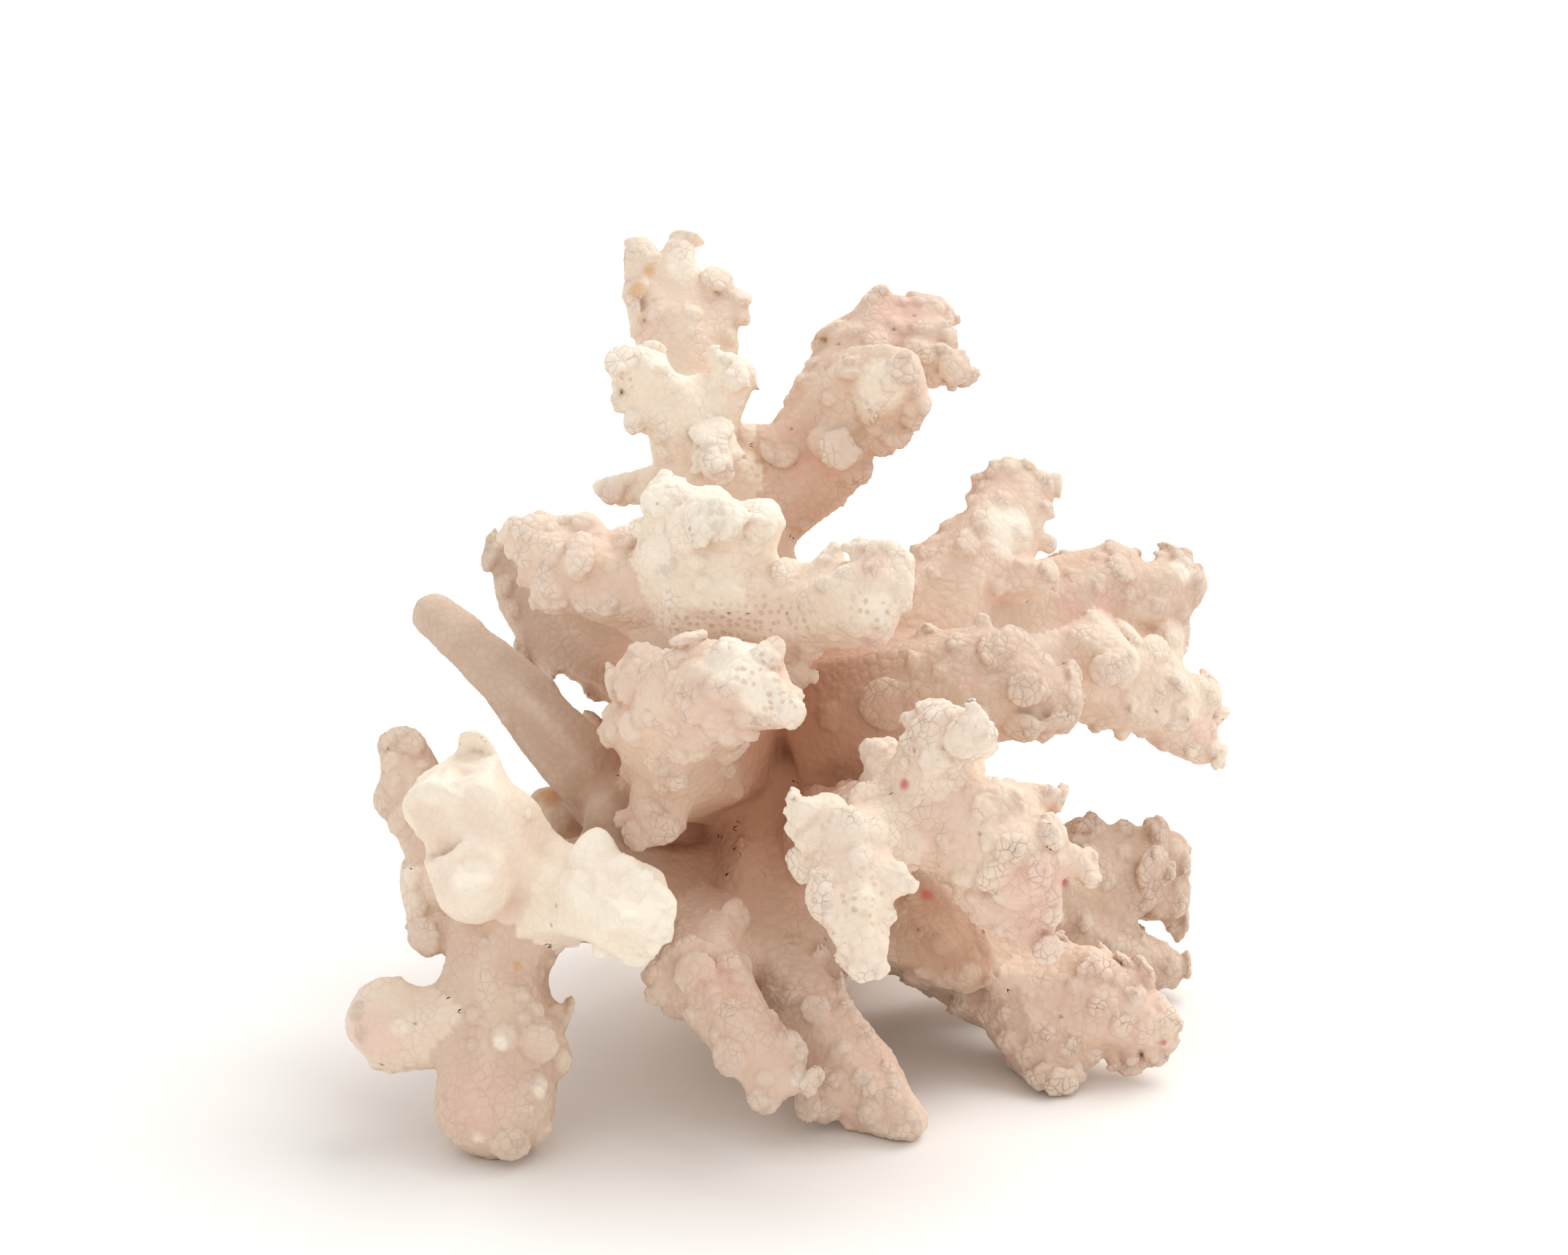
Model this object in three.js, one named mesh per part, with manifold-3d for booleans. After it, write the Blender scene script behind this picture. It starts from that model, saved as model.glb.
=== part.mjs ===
// A branching reef coral skeleton, about 120 mm across, in millimetres with +Z up.
// It lies as it was found, on the flat cut under its trunk and on three branch tips.
// The origin is the centre of that cut. Each branch is its own solid, split at the main forks.
import * as THREE from 'three';
import { mergeVertices } from 'three/addons/utils/BufferGeometryUtils.js';
import Module from 'manifold-3d';

const wasm = await Module();
wasm.setup();

// The coral is laid out as it is seen from its best side: right, up and toward the eye, in millimetres
// on the sheet through its middle. The eye looks down by VIEW_TILT from VIEW_DISTANCE away.
const VIEW_TILT = THREE.MathUtils.degToRad(14);
const VIEW_DISTANCE = 420;
const SHEET_HEIGHT = 58.2; // of the middle of that sheet above the surface that the coral stands on
const CUT_CENTRE = new THREE.Vector2(-3.5, 15.2); // the cut under the trunk, on that surface

const GAP = 0.35; // clear space between one branch and the next
const RING_STEP = 8.5; // along a limb, between the rings of its faces
const FLOOR_WIDTH = 400; // of the block that trims what would reach below the surface
const FLOOR_DEPTH = 40;
const SIDES = [[10, 9], [4.6, 6], [0, 5]]; // [wider than this, faces round], the stoutest limbs first
const SLIM = 5; // faces round the limbs whose tips are a point, with no shoulder below it
const ROOT_POINT = { ahead: -0.4, narrow: 0 }; // an end ring: its way past the last ring and its width,
const SHOULDER = { ahead: 0.55, narrow: 0.74 }; // both in radii of that ring
const TIP_POINT = { ahead: 0.9, narrow: 0 };
const SLIM_POINT = { ahead: 0.75, narrow: 0 };
const KNOBS_ROUND = 3; // humps round a branch, standing between those of the rings beside it
const KNOB_HEIGHT = [0.04, 0.13]; // at a limb's root and at its tip, as a share of its radius

const colours = {
  peach: 0xe8d0ba,
  cream: 0xf1e6d4,
  rose: 0xe6cabb,
  shade: 0xd8bda4,
};

// A place seen at (right, up) on the sheet and lying toward the eye by the third number.
// What is nearer the eye looks larger, so its real offsets are smaller by the share shrink.
function shrink(toward) {
  return (VIEW_DISTANCE - toward) / VIEW_DISTANCE;
}

function place([right, up, toward]) {
  const across = right * shrink(toward);
  const rise = up * shrink(toward);
  return new THREE.Vector3(
    across - CUT_CENTRE.x,
    rise * Math.sin(VIEW_TILT) - toward * Math.cos(VIEW_TILT) - CUT_CENTRE.y,
    SHEET_HEIGHT + rise * Math.cos(VIEW_TILT) + toward * Math.sin(VIEW_TILT),
  );
}

// The rings of one limb: centres on a smooth curve through its stations, each with its radius and a
// frame that is carried along the curve without twisting.
function ringsAlong(stations, step) {
  const curve = new THREE.CatmullRomCurve3(stations.map(place), false, 'centripetal');
  const count = Math.max(1, Math.round(curve.getLength() / step));
  const side = new THREE.Vector3(0.31, 0.87, 0.39);
  const rings = [];
  for (let i = 0; i <= count; i += 1) {
    const share = (i / count) * (stations.length - 1);
    const from = Math.min(Math.floor(share), stations.length - 2);
    const [a, b] = [stations[from], stations[from + 1]];
    const radius = THREE.MathUtils.lerp(a[3] * shrink(a[2]), b[3] * shrink(b[2]), share - from);
    const along = curve.getTangent(i / count);
    side.addScaledVector(along, -side.dot(along)).normalize();
    const across = new THREE.Vector3().crossVectors(side, along);
    rings.push({ centre: curve.getPoint(i / count), radius, along, side: side.clone(), across });
  }
  return rings;
}

// One limb is a sphere drawn out along its rings: the poles become its two ends, and the tip of a
// stout limb gets a narrower ring that rounds it.
function limbGeometry(stations, grow) {
  const rings = ringsAlong(stations, RING_STEP);
  const end = (ring, { ahead, narrow }) => ({
    ...ring,
    centre: ring.centre.clone().addScaledVector(ring.along, ahead * ring.radius),
    radius: ring.radius * narrow,
  });
  const last = rings[rings.length - 1];
  const widest = Math.max(...stations.map((station) => station[3]));
  const sides = SIDES.find(([above]) => widest > above)[1];
  const tip = sides > SLIM ? [end(last, SHOULDER), end(last, TIP_POINT)] : [end(last, SLIM_POINT)];
  const all = [end(rings[0], ROOT_POINT), ...rings, ...tip].reverse();
  const geometry = new THREE.SphereGeometry(1, sides, all.length - 1);
  const position = geometry.getAttribute('position');
  const spot = new THREE.Vector3();
  all.forEach((ring, row) => {
    for (let step = 0; step <= sides; step += 1) {
      const turn = ((step % sides) / sides) * 2 * Math.PI;
      const hump = Math.cos(KNOBS_ROUND * turn + row * Math.PI);
      const height = THREE.MathUtils.lerp(KNOB_HEIGHT[1], KNOB_HEIGHT[0], row / (all.length - 1));
      const knob = 1 + hump * height;
      const reach = ring.radius > 0 ? ring.radius * knob + grow : 0;
      spot.copy(ring.centre);
      spot.addScaledVector(ring.side, -Math.cos(turn) * reach);
      spot.addScaledVector(ring.across, Math.sin(turn) * reach);
      if (ring.radius === 0) spot.addScaledVector(ring.along, row === 0 ? grow : -grow);
      position.setXYZ(row * (sides + 1) + step, spot.x, spot.y, spot.z);
    }
  });
  return geometry;
}

function solidOf(geometry) {
  geometry.deleteAttribute('normal');
  geometry.deleteAttribute('uv');
  const merged = mergeVertices(geometry, 1e-4);
  const vertProperties = new Float32Array(merged.getAttribute('position').array);
  const triVerts = new Uint32Array(merged.getIndex().array);
  return new wasm.Manifold(new wasm.Mesh({ numProp: 3, vertProperties, triVerts }));
}

function meshOf(solid, name, colour) {
  const { vertProperties, triVerts } = solid.getMesh();
  const geometry = new THREE.BufferGeometry();
  geometry.setAttribute('position', new THREE.BufferAttribute(vertProperties, 3));
  geometry.setIndex(new THREE.BufferAttribute(triVerts, 1));
  geometry.computeVertexNormals();
  const material = new THREE.MeshStandardMaterial({ color: colour, roughness: 0.9, metalness: 0 });
  const mesh = new THREE.Mesh(geometry, material);
  mesh.name = name;
  return mesh;
}

// A branch joins its limbs. grow fattens them all by the gap to its neighbours.
function branchSolid(branch, grow) {
  let solid = null;
  for (const { stations } of branch.limbs) {
    const limb = solidOf(limbGeometry(stations, grow));
    solid = solid ? solid.add(limb) : limb;
  }
  return solid;
}

// Every limb is a list of stations [right, up, toward, radius] from its root to its tip.
const branches = [
  {
    name: 'trunk',
    colour: colours.rose,
    limbs: [
      {
        stations: [
          [-3, -55, -32, 11.5], [-3.2, -46, -27, 12], [-4, -36, -10, 14], [-2, -22, -9, 13],
          [-1.5, -8, -17, 10.5],
        ],
      },
    ],
  },
  {
    name: 'crown_stem',
    colour: colours.rose,
    limbs: [
      {
        stations: [
          [-1.5, -8, -17, 8.5], [-2.5, 2, -21, 7], [-4.5, 11, -22, 5.8], [-3.5, 18, -23, 7],
        ],
      },
    ],
  },
  {
    name: 'fan_middle_branch',
    colour: colours.peach,
    limbs: [
      {
        stations: [
          [-7.5, -14, -8, 9.5], [-10.5, -4, 3, 9], [-12, 5, 12, 9], [-13.5, 12, 16, 6.8],
          [-15.5, 17, 17, 4.2],
        ],
      },
      { stations: [[-9, 8, 15, 7], [-5.5, 12.5, 18, 6], [-3, 14.8, 19, 3.6]] },
      { stations: [[-11, 11, 17, 5.5], [-9.8, 17, 18, 3.2]] },
      { stations: [[-12, 15, 20, 3.2], [-7.5, 14.2, 24, 3]] },
      { stations: [[-9.5, 5, 18, 4.5], [-7, 3.6, 20, 3]] },
    ],
  },
  {
    name: 'fan_left_branch',
    colour: colours.peach,
    limbs: [
      {
        stations: [
          [-14, 5, 9, 6.6], [-21.5, 5.5, 11, 6.4], [-29, 8, 11, 6], [-33.5, 10.8, 10, 5],
          [-35.8, 12.2, 10, 3.2],
        ],
      },
      { stations: [[-29, 8, 11, 4.4], [-26.6, 13.8, 11, 3]] },
      { stations: [[-30, 5, 12, 3.5], [-33.2, 4, 13, 2.6]] },
      { stations: [[-27, 11, 14, 2.6], [-28.5, 8, 17, 2.6]] },
      { stations: [[-32, 11, 10, 3.5], [-33, 14.6, 10, 2.4]] },
    ],
  },
  {
    name: 'fan_right_branch',
    colour: colours.peach,
    limbs: [
      {
        stations: [
          [-9, 3.5, 11, 8], [-3, 2.5, 15, 7], [4.5, 2.5, 20, 6], [11.5, 3.8, 26, 6.6],
          [14.5, 7.6, 28, 4],
        ],
      },
      { stations: [[12.5, 5, 27, 5], [15.6, 4.5, 28, 2.6]] },
      { stations: [[5.5, 7, 21, 2.8], [7, 10.6, 21, 1.7]] },
      { stations: [[1, -3, 15, 3.5], [1.3, -5.8, 16, 2.6]] },
      { stations: [[14, 8, 28, 3], [13.4, 11.2, 28, 2]] },
    ],
  },
  {
    name: 'front_left_branch',
    colour: colours.cream,
    limbs: [
      {
        stations: [
          [-8, -18, 0, 8.5],
          [-14, -18, 14, 9],
          [-14.5, -13, 24, 9],
          [-11, -8.8, 32, 8],
          [-5.5, -7.6, 37, 6.5],
          [-0.5, -11, 40, 3.6],
        ],
      },
      { stations: [[-15, -10, 24, 7], [-20, -6.8, 24, 4.2]] },
      { stations: [[-17, -13, 22, 6], [-22, -13.5, 21, 3.6]] },
      { stations: [[-15, -18, 18, 7], [-18.5, -24, 20, 5], [-18.8, -28, 20, 2.8]] },
      { stations: [[-16, -24, 20, 4], [-15.8, -28, 20, 2.4]] },
      { stations: [[-4, -6, 37, 3.5], [-1.6, -3.6, 38, 1.8]] },
      { stations: [[-0.5, -11, 40, 3], [1.4, -12, 40, 1.8]] },
    ],
  },
  {
    name: 'back_left_branch',
    colour: colours.shade,
    limbs: [
      {
        stations: [
          [-12, -10, -12, 8], [-22, -8, -17, 7], [-30.5, -1, -19, 6.4], [-35.5, 6.5, -20, 5],
          [-38, 10, -20, 3.2],
        ],
      },
      { stations: [[-36, 9, -20, 3.2], [-36.4, 12.6, -20, 2.2]] },
    ],
  },
  {
    name: 'slender_finger',
    colour: colours.rose,
    limbs: [
      {
        stations: [
          [-16, -28, -4, 7.5],
          [-21.6, -24.8, 4, 6.4],
          [-27, -20, 7, 5.6],
          [-31.8, -14.7, 8, 5.2],
          [-36.7, -8.6, 7, 4.2],
          [-40.5, -5, 6, 3.2],
          [-44.6, -1.2, 5, 2.8],
          [-48.3, 1.8, 3, 2.6],
        ],
      },
      { stations: [[-34, -10.5, 8, 2.6], [-32, -8.4, 8, 1.7]] },
      { stations: [[-22, -24, 7, 5], [-24, -25.5, 12, 4]] },
    ],
  },
  {
    name: 'back_stub',
    colour: colours.peach,
    limbs: [{ stations: [[-12, -32, -14, 7], [-24, -28, -20, 5.6], [-31, -25.8, -23, 4.4]] }],
  },
  {
    name: 'crown_right_branch',
    colour: colours.rose,
    limbs: [
      {
        stations: [
          [-3.5, 17, -23, 7], [3, 22.5, -22, 7.5], [8, 29, -20, 7.5], [12, 33, -15, 7],
          [15.5, 34.5, -10, 4.6],
        ],
      },
      {
        stations: [
          [6, 29, -21, 6.8], [11, 36.4, -24, 7], [16, 40.4, -26, 5.2], [19.4, 42.6, -26, 3.6],
        ],
      },
      { stations: [[5, 28, -22, 5], [6.2, 33, -23, 4.2], [8.4, 38.4, -24, 4]] },
      { stations: [[17, 37, -21, 4.4], [24, 35.2, -20, 2.2]] },
      { stations: [[18, 39.5, -23, 3.8], [22.4, 40, -22, 2.6]] },
      { stations: [[12, 42, -24, 3.6], [13.6, 46.4, -24, 1.6]] },
      { stations: [[8, 24, -19, 3.6], [10.8, 20.8, -18, 2.2]] },
      { stations: [[11, 27, -16, 3.6], [13.8, 25.2, -15, 2]] },
      { stations: [[15, 31.5, -13, 3.6], [18.8, 29.8, -12, 2.2]] },
      { stations: [[5.5, 26, -14, 3], [7, 24.2, -11, 2.6]] },
    ],
  },
  {
    name: 'crown_left_branch',
    colour: colours.cream,
    limbs: [
      {
        stations: [
          [-3.5, 17, -23, 7], [-10.5, 22.5, -20, 6.6], [-13, 28, -16, 6.4], [-16, 32.5, -13, 5.4],
          [-19.5, 35, -12, 4], [-22.6, 36.4, -12, 2.6],
        ],
      },
      { stations: [[-11, 28, -16, 5.6], [-7.4, 31, -13, 4.8], [-6.4, 35, -13, 3]] },
      { stations: [[-17, 30, -13, 3.4], [-20.2, 28.6, -12, 2.4]] },
      { stations: [[-12, 19.8, -21, 4.2], [-20, 19.4, -20, 3.2], [-23.6, 19, -20, 1.9]] },
      { stations: [[-9.5, 26, -12, 3.6], [-9.9, 23.6, -8, 3], [-9, 21.6, -7, 2.4]] },
    ],
  },
  {
    name: 'crown_back_branch',
    colour: colours.cream,
    limbs: [
      {
        stations: [
          [-12, 26, -24, 5.2], [-12.2, 33, -29, 4.2], [-13.5, 39.5, -31, 5.2], [-14, 43.5, -32, 4.4],
        ],
      },
      { stations: [[-16, 42, -32, 3.8], [-19.2, 47.6, -32, 3.2], [-19.4, 51.4, -32, 2.5]] },
      { stations: [[-13.5, 45, -32, 3.3], [-14.8, 49.5, -32, 2.8], [-15, 51.6, -32, 2.3]] },
      { stations: [[-12, 41, -32, 4], [-9.6, 46, -32, 3], [-9.4, 48, -32, 2]] },
      { stations: [[-11, 40, -31, 4], [-6.9, 43.3, -31, 3], [-6, 45, -31, 1.8]] },
      { stations: [[-17, 43.5, -31, 3.2], [-20.4, 45.6, -31, 2.4]] },
      { stations: [[-15, 38, -31, 3.6], [-19, 40.6, -31, 2.8]] },
      { stations: [[-11, 37, -31, 4], [-7.8, 38.6, -31, 2.8]] },
    ],
  },
  {
    name: 'right_mid_branch',
    colour: colours.rose,
    limbs: [
      {
        stations: [
          [6, -13, -2, 11], [18, -9.5, 6, 9], [27, -8.5, 11, 8.2], [34, -9, 13, 6], [38, -10, 13, 3.6],
        ],
      },
      { stations: [[28, -4, 12, 4.6], [32, -3.2, 13, 3]] },
      { stations: [[34, -12, 12, 3.6], [36.2, -14.2, 12, 2.2]] },
    ],
  },
  {
    name: 'right_upper_branch',
    colour: colours.peach,
    limbs: [
      {
        stations: [
          [10, -8, -8, 9], [18, -0.5, -9, 8], [24.2, 7, -10, 6.6], [29.4, 13.4, -12, 6],
          [31.6, 18.6, -14, 4.2],
        ],
      },
      { stations: [[30, 17, -13, 4], [31, 22.4, -13, 2.3]] },
      { stations: [[32.5, 16, -13, 4], [35.6, 20.3, -13, 2.2]] },
      { stations: [[26.6, 13, -13, 4.2], [27.6, 18.2, -14, 2.6]] },
      { stations: [[32, 14, -12, 4], [36, 15, -12, 2.3]] },
      { stations: [[27, 7.5, -8, 4], [36, 6.8, -8, 2.4]] },
      { stations: [[19, 4, -10, 4.5], [19.6, 9.4, -11, 2.8]] },
    ],
  },
  {
    name: 'right_back_branch',
    colour: colours.rose,
    limbs: [
      {
        stations: [
          [22, -3, -12, 8], [35, 2.5, -19, 6.3], [42, 4.8, -23, 6.6], [49, 5, -26, 5.6],
          [53.5, 6, -28, 4.8], [55.4, 5.8, -28, 3.4],
        ],
      },
      { stations: [[44, 8, -24, 4], [45.5, 10.4, -24, 2.4]] },
      { stations: [[53, 7.5, -28, 3.4], [54, 9.6, -28, 2.2]] },
      { stations: [[53, 3, -27, 3.8], [54.6, 1.4, -27, 2.2]] },
    ],
  },
  {
    name: 'right_far_branch',
    colour: colours.peach,
    limbs: [
      {
        stations: [
          [22, -7, -11, 7], [34, -4, -18, 7.2], [44, -5.8, -22, 7.6], [51, -9, -24, 6.4],
          [55.5, -10.5, -26, 4.8], [57.5, -9.5, -26, 3.3],
        ],
      },
      { stations: [[53, -12, -25, 5], [57.6, -16.6, -26, 2.8]] },
      { stations: [[50, -5, -24, 4], [53.6, -1.4, -25, 2.4]] },
      { stations: [[42, -3, -16, 5.5], [46, -5, -12, 3.4]] },
    ],
  },
  {
    name: 'right_front_branch',
    colour: colours.rose,
    limbs: [
      {
        stations: [
          [5, -30, 4, 8], [13, -28, 22, 7], [19, -26, 32, 7.5], [26, -27.5, 36, 8.3],
          [32, -29.5, 37, 7], [35.5, -31, 37, 4.6],
        ],
      },
      { stations: [[30, -25, 36, 4.5], [37, -23, 36, 1.8]] },
      { stations: [[36, -31, 36, 3.6], [40.4, -32.4, 35, 2]] },
      { stations: [[26, -34, 34, 4.8], [33, -41, 35, 3.8], [35.6, -43.8, 35, 2]] },
      { stations: [[33.5, -34, 36, 5], [36, -39.6, 36, 2.6]] },
    ],
  },
  {
    name: 'right_front_finger',
    colour: colours.rose,
    limbs: [
      { stations: [[19, -25, 34, 6.8], [20.5, -18.5, 37, 6.2], [21.6, -14.6, 39, 5]] },
      { stations: [[23, -14.5, 40, 4.4], [27.2, -15, 42, 3.2]] },
      { stations: [[16, -22.5, 31, 4.4], [12.6, -18, 30, 2.9], [12.2, -16, 30, 2]] },
    ],
  },
  {
    name: 'right_front_thumb',
    colour: colours.cream,
    limbs: [
      {
        stations: [
          [16, -28, 34, 6], [9.5, -28.8, 41, 6.6], [8.5, -34.5, 45, 6.2], [10.5, -41.5, 47, 4.7],
          [11.6, -46, 47, 3],
        ],
      },
      { stations: [[7, -27, 42, 4.8], [3, -26.4, 43, 3.2]] },
      { stations: [[13, -34, 46, 3.6], [17.6, -35.4, 47, 1.7]] },
    ],
  },
  {
    name: 'right_shelf',
    colour: colours.rose,
    limbs: [
      { stations: [[7, -37, 0, 8.5], [16, -40, 5, 8], [21.5, -43.5, 9, 6.2], [25, -46.5, 10, 4.4]] },
    ],
  },
  {
    name: 'right_leg',
    colour: colours.rose,
    limbs: [
      {
        stations: [
          [10, -38, -4, 7], [22, -43.6, -4, 7.2], [31, -49, 0, 7.6], [35, -56, 5, 6.5],
          [37.6, -61.6, 9, 3.6],
        ],
      },
      { stations: [[31, -54, 3, 4.4], [29.6, -56.2, 3, 2.4]] },
      { stations: [[24, -47, -2, 4.4], [23.6, -50.2, -2, 2.4]] },
    ],
  },
  {
    name: 'right_low_arm',
    colour: colours.rose,
    limbs: [
      { stations: [[31, -50, 1, 7], [41, -50.5, 4, 6.8], [47.5, -53, 6, 5.8], [51.5, -54.6, 6, 3.6]] },
      { stations: [[40, -55, 5, 4], [42, -59, 6, 2.4]] },
      { stations: [[42, -48, 6, 4], [42.6, -46, 8, 2.6]] },
      { stations: [[46, -50, 7, 3.6], [48.4, -48, 8, 2.2]] },
    ],
  },
  {
    name: 'right_low_fan',
    colour: colours.shade,
    limbs: [
      {
        stations: [
          [6, -38, -12, 8], [20, -40, -14, 8], [31, -38, -19, 8.3], [41, -35, -25, 8.6],
          [48, -33.2, -28, 7.2], [51.5, -33, -29, 5],
        ],
      },
      { stations: [[42, -30, -26, 3.5], [42, -27.2, -26, 2]] },
      { stations: [[46.5, -29, -27, 3.5], [46.6, -27.2, -27, 2]] },
      { stations: [[50, -29, -28, 3.5], [51.2, -27.4, -28, 2]] },
      { stations: [[51.5, -31, -28, 4], [54.6, -32, -28, 2.4]] },
      { stations: [[51, -37, -28, 4], [54.4, -38, -28, 2.6]] },
      { stations: [[38, -41, -21, 6.5], [48, -45.6, -24, 4.6], [53, -46.8, -24, 2.8]] },
    ],
  },
  {
    name: 'front_leg',
    colour: colours.rose,
    limbs: [
      {
        stations: [
          [-1, -43, 4, 9], [1.2, -50.5, 11, 6.9], [6.2, -57.5, 17, 6.4], [12, -64, 22, 5.8],
          [16.4, -68, 25, 3.4],
        ],
      },
      { stations: [[16, -66.6, 24, 3.4], [18.8, -68.2, 24.5, 2]] },
      { stations: [[12.4, -60.4, 20, 4], [14.6, -61.6, 20, 2.2]] },
      { stations: [[7, -63, 22, 5], [5.2, -65.6, 23, 3]] },
    ],
  },
  {
    name: 'front_left_leg',
    colour: colours.rose,
    limbs: [
      {
        stations: [
          [-10, -42, 8, 7.5], [-12, -46.6, 18, 7.3], [-8.5, -52, 25, 5.6], [-4, -58, 28, 4.8],
          [-2, -62.4, 30, 3.8], [-2.8, -65, 30.5, 2.4],
        ],
      },
      { stations: [[-1, -61.5, 30, 3.4], [2.4, -62.6, 31, 1.9]] },
      { stations: [[-13, -48, 20, 5.6], [-15.8, -49, 21, 3.6]] },
      { stations: [[0, -57, 29, 2.8], [2.2, -58, 30, 1.6]] },
    ],
  },
  {
    name: 'left_bridge',
    colour: colours.peach,
    limbs: [
      {
        stations: [
          [-12, -37, 0, 8], [-22, -36, 10, 7.3], [-31, -36, 19, 7.6], [-36, -37.5, 23.5, 7.4],
        ],
      },
    ],
  },
  {
    name: 'left_column',
    colour: colours.peach,
    limbs: [
      {
        stations: [
          [-37.5, -38, 24, 7.6], [-40, -45, 26, 7.5], [-39.6, -53, 27, 8], [-38.8, -59.5, 29, 8.4],
          [-39.8, -66.2, 29.5, 7.9],
        ],
      },
      { stations: [[-36, -52, 26, 3.5], [-30.6, -53.6, 26, 1.7]] },
      { stations: [[-34.5, -57, 28, 5], [-31.6, -59.5, 28, 3]] },
      { stations: [[-44, -42, 25, 3], [-49.2, -42.4, 24, 2.3]] },
    ],
  },
  {
    name: 'left_low_arm',
    colour: colours.peach,
    limbs: [
      {
        stations: [
          [-41, -54, 28, 5], [-46.4, -54.3, 28, 4.7], [-50.6, -55, 28, 5.2], [-54.4, -54.8, 28, 6],
          [-56.8, -54, 28, 4.2],
        ],
      },
      { stations: [[-53, -57, 28, 4], [-52.6, -59.8, 28, 2.4]] },
    ],
  },
  {
    name: 'left_up_arm',
    colour: colours.cream,
    limbs: [
      {
        stations: [
          [-36, -36, 26, 7.2], [-41.2, -27.5, 31, 7.8], [-43.8, -22, 33, 6.6], [-43, -16.8, 32, 3.4],
        ],
      },
      { stations: [[-42, -32, 34, 5.5], [-43, -36.4, 36, 4.4]] },
      { stations: [[-46, -24, 33, 6], [-49, -25, 33, 4.3]] },
    ],
  },
  {
    name: 'left_broken_arm',
    colour: colours.cream,
    limbs: [
      {
        stations: [
          [-34, -36, 24, 7.5], [-27, -37, 32, 6.6], [-22, -38.5, 38, 7.3], [-19.8, -39.6, 41, 5.6],
        ],
      },
      { stations: [[-26, -32, 34, 4.5], [-25.6, -28.4, 34, 2]] },
      { stations: [[-21, -43, 38, 4], [-19.8, -45.6, 38, 2.2]] },
    ],
  },
  {
    name: 'left_back_arm',
    colour: colours.peach,
    limbs: [
      {
        stations: [
          [-38, -35, 18, 6.5], [-47.4, -28.6, 11, 5.6], [-51.4, -20.6, 8, 4.6], [-52.2, -16.8, 7, 3.4],
        ],
      },
      { stations: [[-50, -23.6, 9, 4], [-54.8, -24.4, 8, 2.6]] },
    ],
  },
  {
    name: 'left_back_knob',
    colour: colours.peach,
    limbs: [
      {
        stations: [
          [-41, -33, 16, 6], [-46.8, -34.4, 13, 5.6], [-48.6, -39, 12, 4.4], [-49, -41.6, 12, 3],
        ],
      },
    ],
  },
  {
    name: 'back_upper_branch',
    colour: colours.shade,
    limbs: [
      { stations: [[-1, -12, -20, 8], [0, -8, -34, 6.6], [2.5, -4, -46, 5.4], [4, -2, -53, 3.8]] },
      { stations: [[0, -7, -38, 5.4], [-3.5, -3, -47, 4.4], [-5, -1, -52, 3.2]] },
    ],
  },
  {
    name: 'back_right_branch',
    colour: colours.shade,
    limbs: [
      { stations: [[5, -20, -14, 9], [14, -16, -30, 7.5], [20, -12, -42, 6.5], [24, -9, -52, 4.6]] },
      { stations: [[15, -16, -32, 6], [21, -19, -42, 5.2], [24.5, -20, -50, 3.8]] },
    ],
  },
  {
    name: 'back_left_fork',
    colour: colours.shade,
    limbs: [
      { stations: [[-7, -20, -14, 8.5], [-12, -15, -30, 7], [-13, -9, -42, 6], [-12, -7, -50, 4.2]] },
      { stations: [[-12, -15, -32, 6], [-15, -17, -42, 5], [-17, -18, -50, 3.8]] },
    ],
  },
  {
    name: 'back_low_branch',
    colour: colours.shade,
    limbs: [
      { stations: [[3, -34, -18, 8.5], [12, -31, -34, 7], [18, -31, -46, 5.8], [22, -31, -54, 4.2]] },
      { stations: [[12, -32, -36, 5.4], [12.5, -35.4, -44, 4.4], [13, -36.6, -49, 3.4]] },
    ],
  },
];

// Branches are built in order, each cut back from the surface below and from those before it.
let taken = solidOf(new THREE.BoxGeometry(FLOOR_WIDTH, FLOOR_WIDTH, FLOOR_DEPTH).translate(0, 0, -FLOOR_DEPTH / 2));
const coral = new THREE.Group();
for (const branch of branches) {
  const solid = branchSolid(branch, 0).subtract(taken);
  const bodies = solid.decompose().sort((a, b) => b.volume() - a.volume());
  coral.add(meshOf(bodies[0], branch.name, branch.colour));
  taken = taken.add(branchSolid(branch, GAP));
}

export default coral;
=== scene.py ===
"""A dried branching coral skeleton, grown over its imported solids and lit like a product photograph.

The branches are joined in one distance field. Nubs and knuckles are grown on it, the surface of the field
is meshed and beaded, and it is parted again into one closed piece for each branch.
"""
import math

import bpy
import numpy as np
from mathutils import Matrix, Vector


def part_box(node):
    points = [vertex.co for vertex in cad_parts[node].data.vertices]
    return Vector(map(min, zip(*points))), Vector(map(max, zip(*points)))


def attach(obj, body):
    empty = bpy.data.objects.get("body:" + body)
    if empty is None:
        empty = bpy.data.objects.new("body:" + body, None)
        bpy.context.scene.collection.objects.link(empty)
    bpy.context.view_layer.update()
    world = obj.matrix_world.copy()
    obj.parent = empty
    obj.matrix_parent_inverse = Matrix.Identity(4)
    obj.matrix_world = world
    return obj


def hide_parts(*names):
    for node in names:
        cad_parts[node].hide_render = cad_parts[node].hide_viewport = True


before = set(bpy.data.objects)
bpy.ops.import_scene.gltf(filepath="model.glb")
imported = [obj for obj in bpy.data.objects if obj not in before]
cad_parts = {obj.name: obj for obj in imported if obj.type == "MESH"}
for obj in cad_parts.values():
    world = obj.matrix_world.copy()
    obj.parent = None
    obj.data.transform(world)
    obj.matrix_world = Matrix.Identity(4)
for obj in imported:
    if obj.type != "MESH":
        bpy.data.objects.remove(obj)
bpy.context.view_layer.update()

import openvdb

MM = 0.001
rng = np.random.default_rng(637)

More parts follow.
